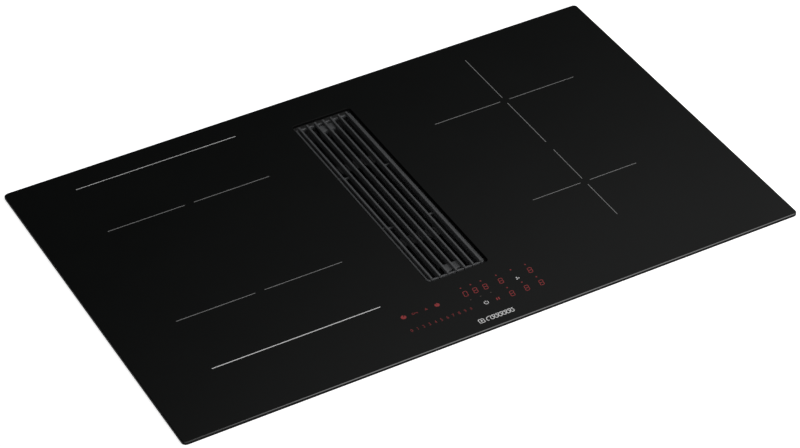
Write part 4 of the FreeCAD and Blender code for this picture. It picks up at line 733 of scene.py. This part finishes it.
def knitted_mesh(name, pitch):
    """Pressed wire mesh: two crossed waves give the wires' rise and fall, which sets the relief and a colour
    darker in the hollows between wires, painted shade.
    """
    material, tree, shader = new_material(name, Metallic=1.0)
    place = object_place(tree)
    waves = []
    for turn in (FACET_TURN, -FACET_TURN):
        turned = add_node(tree, "ShaderNodeMapping", {"Vector": place, "Rotation": (0, 0, turn)})
        wave = add_node(tree, "ShaderNodeTexWave", {"Vector": turned.outputs["Vector"],
                                                    "Scale": WAVE_TO_PITCH / pitch, "Distortion": 0.6,
                                                    "Detail": 1.0})
        waves.append(wave.outputs["Fac"])
    wire_rise_and_shade = calculate(tree, "MAXIMUM", *waves)
    # Darker in the hollows between wires: painted shade.
    colour_by(tree, shader, wire_rise_and_shade, (0.004, 0.004, 0.004), (0.035, 0.035, 0.037))
    gloss_by(tree, shader, wire_rise_and_shade, (0, 1), 0.6, 0.3)
    emboss(tree, shader, wire_rise_and_shade, 0.8, 0.0006)
    return material


# The mesh's near-black colour is painted shade of the deep well.
dress(knitted_mesh("wire_mesh_painted_shade", WIRE_PITCH), "filter_mesh")
dress(finish("tray_moulding", (0.035, 0.035, 0.037), (0.05, 0.05, 0.053), (0.35, 0.5), cloud=30.0,
             fine=1500.0, wear_and_highlight_to=(0.1, 0.1, 0.1)), "drip_tray")

# ------------------------------------------------------------------------------------ seal, rails and screws
# A strip of black closed-cell foam is stuck round the plate's underside. Four folded angles of galvanised
# steel are bonded behind it, and zinc-plated pan-head screws join them to the pan's walls.
dress(finish("closed_cell_foam", (0.02, 0.02, 0.021), (0.035, 0.035, 0.036), (0.8, 0.95), cloud=90.0,
             fine=3200.0, share=0.7, bump=0.6, depth=0.0003), "worktop_seal")
zinc_steel = drawn_metal("zinc_steel", (0.42, 0.43, 0.44), (0.62, 0.63, 0.64), (0.3, 0.45), lay=0)
dress(zinc_steel, "glass_rails", "motor_bracket")
dress(drawn_metal("screw_steel", (0.5, 0.5, 0.5), (0.72, 0.72, 0.72), (0.2, 0.35), lay=2), "panhead_screws")

# ------------------------------------------------------------------------------------ pan
# The pan that hangs under the glass is folded and welded from hot-dip galvanised sheet, whose zinc shows as
# a patchwork of grey crystals. Leaf springs of blued steel press on the worktop's opening, and the mains
# inlet is a rubber sleeve.
WARP_SCALE = 60.0
CRYSTAL = 0.009


def spangled_steel(name, crystal):
    """Zinc crystals: each Voronoi cell of the warped coordinates has its own tone and gloss, under clouds."""
    material, tree, shader = new_material(name, Metallic=1.0)
    place = object_place(tree)
    warp = add_node(tree, "ShaderNodeTexNoise", {"Vector": place, "Scale": WARP_SCALE, "Detail": 3.0})
    shift = add_node(tree, "ShaderNodeVectorMath", {0: warp.outputs["Color"], "Scale": crystal / 2},
                     operation="SCALE")
    moved = add_node(tree, "ShaderNodeVectorMath", {0: place, 1: shift.outputs["Vector"]})
    cells = add_node(tree, "ShaderNodeTexVoronoi", {"Vector": moved.outputs["Vector"], "Scale": 1 / crystal})
    tone = add_node(tree, "ShaderNodeSeparateColor", {"Color": cells.outputs["Color"]})
    surface = place_group(tree, grain, Cloud_Scale=8.0, Grain_Scale=500.0, Grain_Share=0.5)
    both = calculate(tree, "ADD", ramp(tree, tone.outputs["Red"], 0, 1, 0, 0.65),
                     ramp(tree, surface.outputs["Height"], *GLOSS_RANGE, 0, 0.35))
    colour_by(tree, shader, both, (0.38, 0.39, 0.4), (0.6, 0.61, 0.62))
    gloss_by(tree, shader, tone.outputs["Green"], (0, 1), 0.32, 0.55)
    emboss(tree, shader, both, 0.15, 0.0002)
    return material


dress(spangled_steel("galvanised_sheet", CRYSTAL), "left_pan", "right_pan", "pan_bridges")
dress(drawn_metal("blued_spring_steel", (0.1, 0.11, 0.14), (0.22, 0.24, 0.28), (0.25, 0.4), lay=2),
      "side_springs")
dress(drawn_metal("bright_spring_steel", (0.4, 0.4, 0.41), (0.6, 0.6, 0.61), (0.2, 0.35), lay=2),
      "plate_springs", "touch_springs", "motor_shaft")
rubber = finish("black_rubber", (0.015, 0.015, 0.015), (0.03, 0.03, 0.03), (0.55, 0.75), cloud=70.0,
                fine=1600.0, bump=0.3)
dress(rubber, "cable_inlet", "motor_bushes")

# ------------------------------------------------------------------------------------ air path
# The well, its hopper and tray pocket, the flat channel, the blower's scroll and the outlet are injection
# mouldings of black glass-filled plastic, finely eroded in the mould, and a little paler along their edges,
# partly from wear and partly as a painted highlight.
dress(finish("eroded_moulding", (0.024, 0.025, 0.026), (0.038, 0.039, 0.041), (0.42, 0.58), cloud=16.0,
             fine=1400.0, share=0.5, bump=0.35, depth=0.00025, wear_and_highlight_to=(0.075, 0.077, 0.08),
             edge_width=0.0008), "well_housing", "well_hopper", "tray_pocket", "intake_channel",
      "scroll_housing", "scroll_cover", "outlet_duct")
dress(finish("impeller_moulding", (0.07, 0.075, 0.08), (0.1, 0.105, 0.11), (0.35, 0.5), cloud=40.0,
             fine=1800.0, wear_and_highlight_to=(0.16, 0.16, 0.165)), "impeller")
dress(drawn_metal("turned_aluminium", (0.5, 0.5, 0.51), (0.68, 0.68, 0.69), (0.3, 0.45), lay=2), "motor_body")

# ------------------------------------------------------------------------------------ coils
# Each zone has a flat winding of twisted enamelled copper on a grey moulded carrier, ferrite bars bonded
# under it and a sheet of mica over it. Folded aluminium plates on springs push the coils up against the
# glass.
ZONES = ("left_front", "left_rear", "right_front", "right_rear")
TWIST_LENGTH = 0.004
STRANDS_ROUND = 90.0


def litz(name, middle):
    """Twisted strands laid in turns: the sine of (2 pi * distance / twist + slant * angle) round the zone's
    middle sets the relief and a colour darker in the grooves between strands, painted shade."""
    material, tree, shader = new_material(name, Metallic=0.7)
    local = add_node(tree, "ShaderNodeVectorMath", {0: object_place(tree), 1: middle}, operation="SUBTRACT")
    split = add_node(tree, "ShaderNodeSeparateXYZ", {"Vector": local.outputs["Vector"]})
    plan = add_node(tree, "ShaderNodeCombineXYZ", {"X": split.outputs["X"], "Y": split.outputs["Y"]})
    distance = add_node(tree, "ShaderNodeVectorMath", {0: plan.outputs["Vector"]}, operation="LENGTH")
    angle = calculate(tree, "ARCTAN2", split.outputs["Y"], split.outputs["X"])
    slant = calculate(tree, "MULTIPLY", angle, STRANDS_ROUND)
    wave = calculate(tree, "MULTIPLY_ADD", distance.outputs["Value"], 2 * math.pi / TWIST_LENGTH, slant)
    strand_relief_and_shade = calculate(tree, "SINE", wave)
    surface = place_group(tree, grain, Cloud_Scale=60.0, Grain_Scale=1500.0, Grain_Share=0.5)
    # Darker in the grooves between strands: painted shade.
    both = calculate(tree, "ADD", ramp(tree, strand_relief_and_shade, -1, 1, 0, 0.7),
                     ramp(tree, surface.outputs["Height"], *GLOSS_RANGE, 0, 0.3))
    colour_by(tree, shader, both, (0.12, 0.03, 0.012), (0.62, 0.23, 0.1))
    gloss_by(tree, shader, surface.outputs["Cloud"], GLOSS_RANGE, 0.3, 0.5)
    emboss(tree, shader, both, 0.6, 0.0004)
    return material


for zone in ZONES:
    low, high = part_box(zone + "_winding")
    dress(litz(zone + "_litz", (low + high) / 2), zone + "_winding")
dress(finish("grey_carrier", (0.3, 0.3, 0.29), (0.38, 0.38, 0.37), (0.5, 0.65), cloud=25.0, fine=1500.0,
             wear_and_highlight_to=(0.5, 0.5, 0.49)), *[zone + "_carrier" for zone in ZONES])
dress(finish("ferrite", (0.03, 0.03, 0.033), (0.05, 0.05, 0.055), (0.45, 0.7), cloud=80.0, fine=2200.0,
             bump=0.4, wear_and_highlight_to=(0.1, 0.1, 0.105)), *[zone + "_ferrites" for zone in ZONES])
dress(finish("mica_sheet", (0.42, 0.39, 0.33), (0.62, 0.59, 0.52), (0.3, 0.5), cloud=120.0, fine=700.0,
             share=0.6, bump=0.2), "coil_micas")
dress(finish("white_ceramic", (0.6, 0.59, 0.56), (0.72, 0.71, 0.68), (0.5, 0.65), cloud=90.0, fine=1900.0),
      "coil_sensors")
dress(drawn_metal("rolled_aluminium", (0.55, 0.55, 0.56), (0.74, 0.74, 0.75), (0.28, 0.42), lay=1),
      "right_coil_plate", "left_coil_plate", "right_heat_sink", "left_heat_sink")

# ------------------------------------------------------------------------------------ electronics
# Two power boards stand on nylon posts in the pan, each with capacitors, chokes and an extruded heat sink
# in line with a small radial fan. The touch board sits in a shallow black tray right under the glass.


def circuit_board(name, resist, track, pitch):
    """Solder resist over copper tracks: staggered oblongs of the plan stand out a shade paler."""
    material, tree, shader = new_material(name, Roughness=0.35)
    tracks = add_node(tree, "ShaderNodeTexBrick", {"Vector": object_place(tree), "Scale": 1 / pitch,
                                                   "Mortar Size": 0.03, "Bias": -0.3, "Brick Width": 1.7,
                                                   "Row Height": 0.35})
    surface = place_group(tree, grain, Cloud_Scale=12.0, Grain_Scale=900.0, Grain_Share=0.5)
    mask = calculate(tree, "MULTIPLY", tracks.outputs["Fac"],
                     ramp(tree, surface.outputs["Height"], *GLOSS_RANGE, 0.3, 1))
    colour_by(tree, shader, mask, resist, track)
    emboss(tree, shader, mask, 0.3, 0.0001)
    return material


dress(circuit_board("power_board_resist", (0.01, 0.07, 0.03), (0.06, 0.2, 0.09), 0.012), "right_power_board",
      "left_power_board")
dress(circuit_board("touch_board_resist", (0.008, 0.01, 0.012), (0.03, 0.034, 0.038), 0.008), "control_board")
dress(finish("sleeved_parts", (0.03, 0.032, 0.05), (0.05, 0.054, 0.08), (0.3, 0.45), cloud=40.0, fine=900.0,
             wear_and_highlight_to=(0.12, 0.12, 0.15)), "right_board_parts", "left_board_parts")
dress(finish("nylon", (0.55, 0.54, 0.5), (0.66, 0.65, 0.61), (0.4, 0.55), cloud=60.0, fine=1300.0),
      "board_posts")
dress(finish("fan_moulding", (0.02, 0.02, 0.021), (0.034, 0.034, 0.036), (0.4, 0.55), cloud=40.0, fine=1500.0,
             wear_and_highlight_to=(0.07, 0.07, 0.072)), "right_fan_housing", "left_fan_housing", "right_fan_rotor",
      "left_fan_rotor", "control_housing")
dress(finish("terminal_moulding", (0.46, 0.46, 0.44), (0.56, 0.56, 0.54), (0.45, 0.6), cloud=50.0,
             fine=1400.0, wear_and_highlight_to=(0.7, 0.7, 0.68)), "terminal_block")
dress(finish("display_face", (0.02, 0.012, 0.012), (0.035, 0.02, 0.02), (0.2, 0.35), cloud=90.0, fine=1200.0),
      "control_displays")
dress(finish("flat_cable", (0.3, 0.3, 0.31), (0.42, 0.42, 0.43), (0.45, 0.6), cloud=60.0, fine=1100.0),
      "control_cable")

# ------------------------------------------------------------------------------------ worktop and floor
# The hob is shown let into a plain white slab, on a pale floor. Both are matt and glow a little, so that
# they stay an even white under soft light.
SLAB_THICK = 0.01
SLAB_OPENING = (0.800, 0.494)
SLAB_MARGINS = {"left": 0.035, "right": 0.035, "front": 0.085, "rear": 0.035}
FLOOR_REACH = 4.0
FLOOR_DROP = 0.06
SLAB_CORNER = 0.002
WHITE_GLOW = 0.7


def white_surface(name):
    """Matt white that also glows."""
    material, tree, shader = new_material(name, Roughness=0.9, Emission_Color=(1, 1, 1, 1),
                                          Emission_Strength=WHITE_GLOW)
    surface = place_group(tree, grain, Cloud_Scale=6.0, Grain_Scale=300.0, Grain_Share=0.4)
    colour_by(tree, shader, surface.outputs["Height"], (0.78, 0.78, 0.78), (0.82, 0.82, 0.82))
    return material


seat_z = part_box("worktop_seal")[0].z
slab_low = np.array([glass_low.x - SLAB_MARGINS["left"], glass_low.y - SLAB_MARGINS["front"]])
slab_high = np.array([glass_high.x + SLAB_MARGINS["right"], glass_high.y + SLAB_MARGINS["rear"]])
slab_edge = np.array([[0.0, seat_z], [0.0, seat_z - SLAB_THICK]])
points, faces = plate_with_opening(
    rounded_outline((slab_low + slab_high) / 2, slab_high - slab_low, SLAB_CORNER),
    rounded_outline((0, 0), SLAB_OPENING, SLAB_CORNER), slab_edge, slab_edge)
worktop = mesh_piece("worktop", points, faces, white_surface("white_worktop"))
floor_z = cad_bounds[0].z - FLOOR_DROP
floor_corners = [(x * FLOOR_REACH, y * FLOOR_REACH, floor_z) for x, y in ((-1, -1), (1, -1), (1, 1), (-1, 1))]
floor = mesh_piece("floor", floor_corners, [(0, 1, 2, 3)], white_surface("white_floor"))

# ------------------------------------------------------------------------------------ light
# A bright studio at the front right, dark at the rear but for one dim soft patch high up, whose edge the
# plate mirrors, and a large soft lamp in front. The camera itself sees plain white behind the hob.
FRONT_SKY = (0.504, -0.858, 0.101)
FRONT_STEPS = [(-0.24, 0.0), (0.0, 0.4), (0.5, 1.0)]
HIGH_PATCH = (0.4526, 0.3352, 0.8263)
PATCH_STEPS = [(0.86, 0.015), (0.885, 0.022), (0.9, 0.046), (0.91, 0.075), (0.92, 0.118), (0.93, 0.175),
               (0.945, 0.22)]
LAMP_AT = (1.1, -1.7, 1.9)
LAMP_SIZE = 1.6
LAMP_POWER = 26.0

world = bpy.data.worlds.new("studio")
bpy.context.scene.world = world
world.use_nodes = True
sky = world.node_tree
way = add_node(sky, "ShaderNodeTexCoord").outputs["Generated"]


def sky_part(towards, steps):
    """Brightness by direction: steps are pairs of the direction's dot product with towards, and the level
    there."""
    facing = add_node(sky, "ShaderNodeVectorMath", {0: way, 1: towards}, operation="DOT_PRODUCT")
    first, last = steps[0][0], steps[-1][0]
    share = ramp(sky, facing.outputs["Value"], first, last, 0, 1)
    level = add_node(sky, "ShaderNodeValToRGB", {"Fac": share})
    stops = level.color_ramp.elements
    for n, (dot, grey) in enumerate(steps):
        at = (dot - first) / (last - first)
        if n == 0:
            stop = stops[0]
        elif n == len(steps) - 1:
            stop = stops[-1]
        else:
            stop = stops.new(at)
        stop.position, stop.color = at, (grey, grey, grey, 1)
    return level.outputs["Color"]


brightness = calculate(sky, "ADD", sky_part(FRONT_SKY, FRONT_STEPS), sky_part(HIGH_PATCH, PATCH_STEPS))
path = add_node(sky, "ShaderNodeLightPath")
seen = shade_between(sky, path.outputs["Is Camera Ray"], brightness, (1, 1, 1))
sky.links.new(seen, sky.nodes["Background"].inputs["Color"])

lamp_data = bpy.data.lights.new("soft_lamp", "AREA")
lamp_data.shape, lamp_data.size, lamp_data.energy = "SQUARE", LAMP_SIZE, LAMP_POWER
lamp = bpy.data.objects.new("soft_lamp", lamp_data)
bpy.context.scene.collection.objects.link(lamp)
lamp.location = LAMP_AT
lamp.rotation_euler = (-lamp.location).to_track_quat("-Z", "Y").to_euler()

# ------------------------------------------------------------------------------------ camera
# A long lens from the front left, well above the worktop and rolled by about a degree.
AZIMUTH, ELEVATION, ROLL = np.radians((-28.0229, 38.6419, -1.2090))
LENS_LENGTH, SENSOR_WIDTH = 130.37, 36.0
AIM = np.array([-0.016886, -0.036933, glass_top])
DISTANCE = 3.52921

back = np.array([math.sin(AZIMUTH) * math.cos(ELEVATION), -math.cos(AZIMUTH) * math.cos(ELEVATION),
                 math.sin(ELEVATION)])
across = np.cross((0, 0, 1), back)
across /= np.linalg.norm(across)
upward = np.cross(back, across)
right = math.cos(ROLL) * across + math.sin(ROLL) * upward
top = math.cos(ROLL) * upward - math.sin(ROLL) * across
lens = bpy.data.cameras.new("camera")
lens.lens, lens.sensor_width = LENS_LENGTH, SENSOR_WIDTH
camera = bpy.data.objects.new("camera", lens)
bpy.context.scene.collection.objects.link(camera)
stand = np.eye(4)
stand[:3, 0], stand[:3, 1], stand[:3, 2], stand[:3, 3] = right, top, back, AIM + back * DISTANCE
camera.matrix_world = Matrix(stand.tolist())
bpy.context.scene.camera = camera
bpy.context.scene.view_settings.view_transform = "Standard"
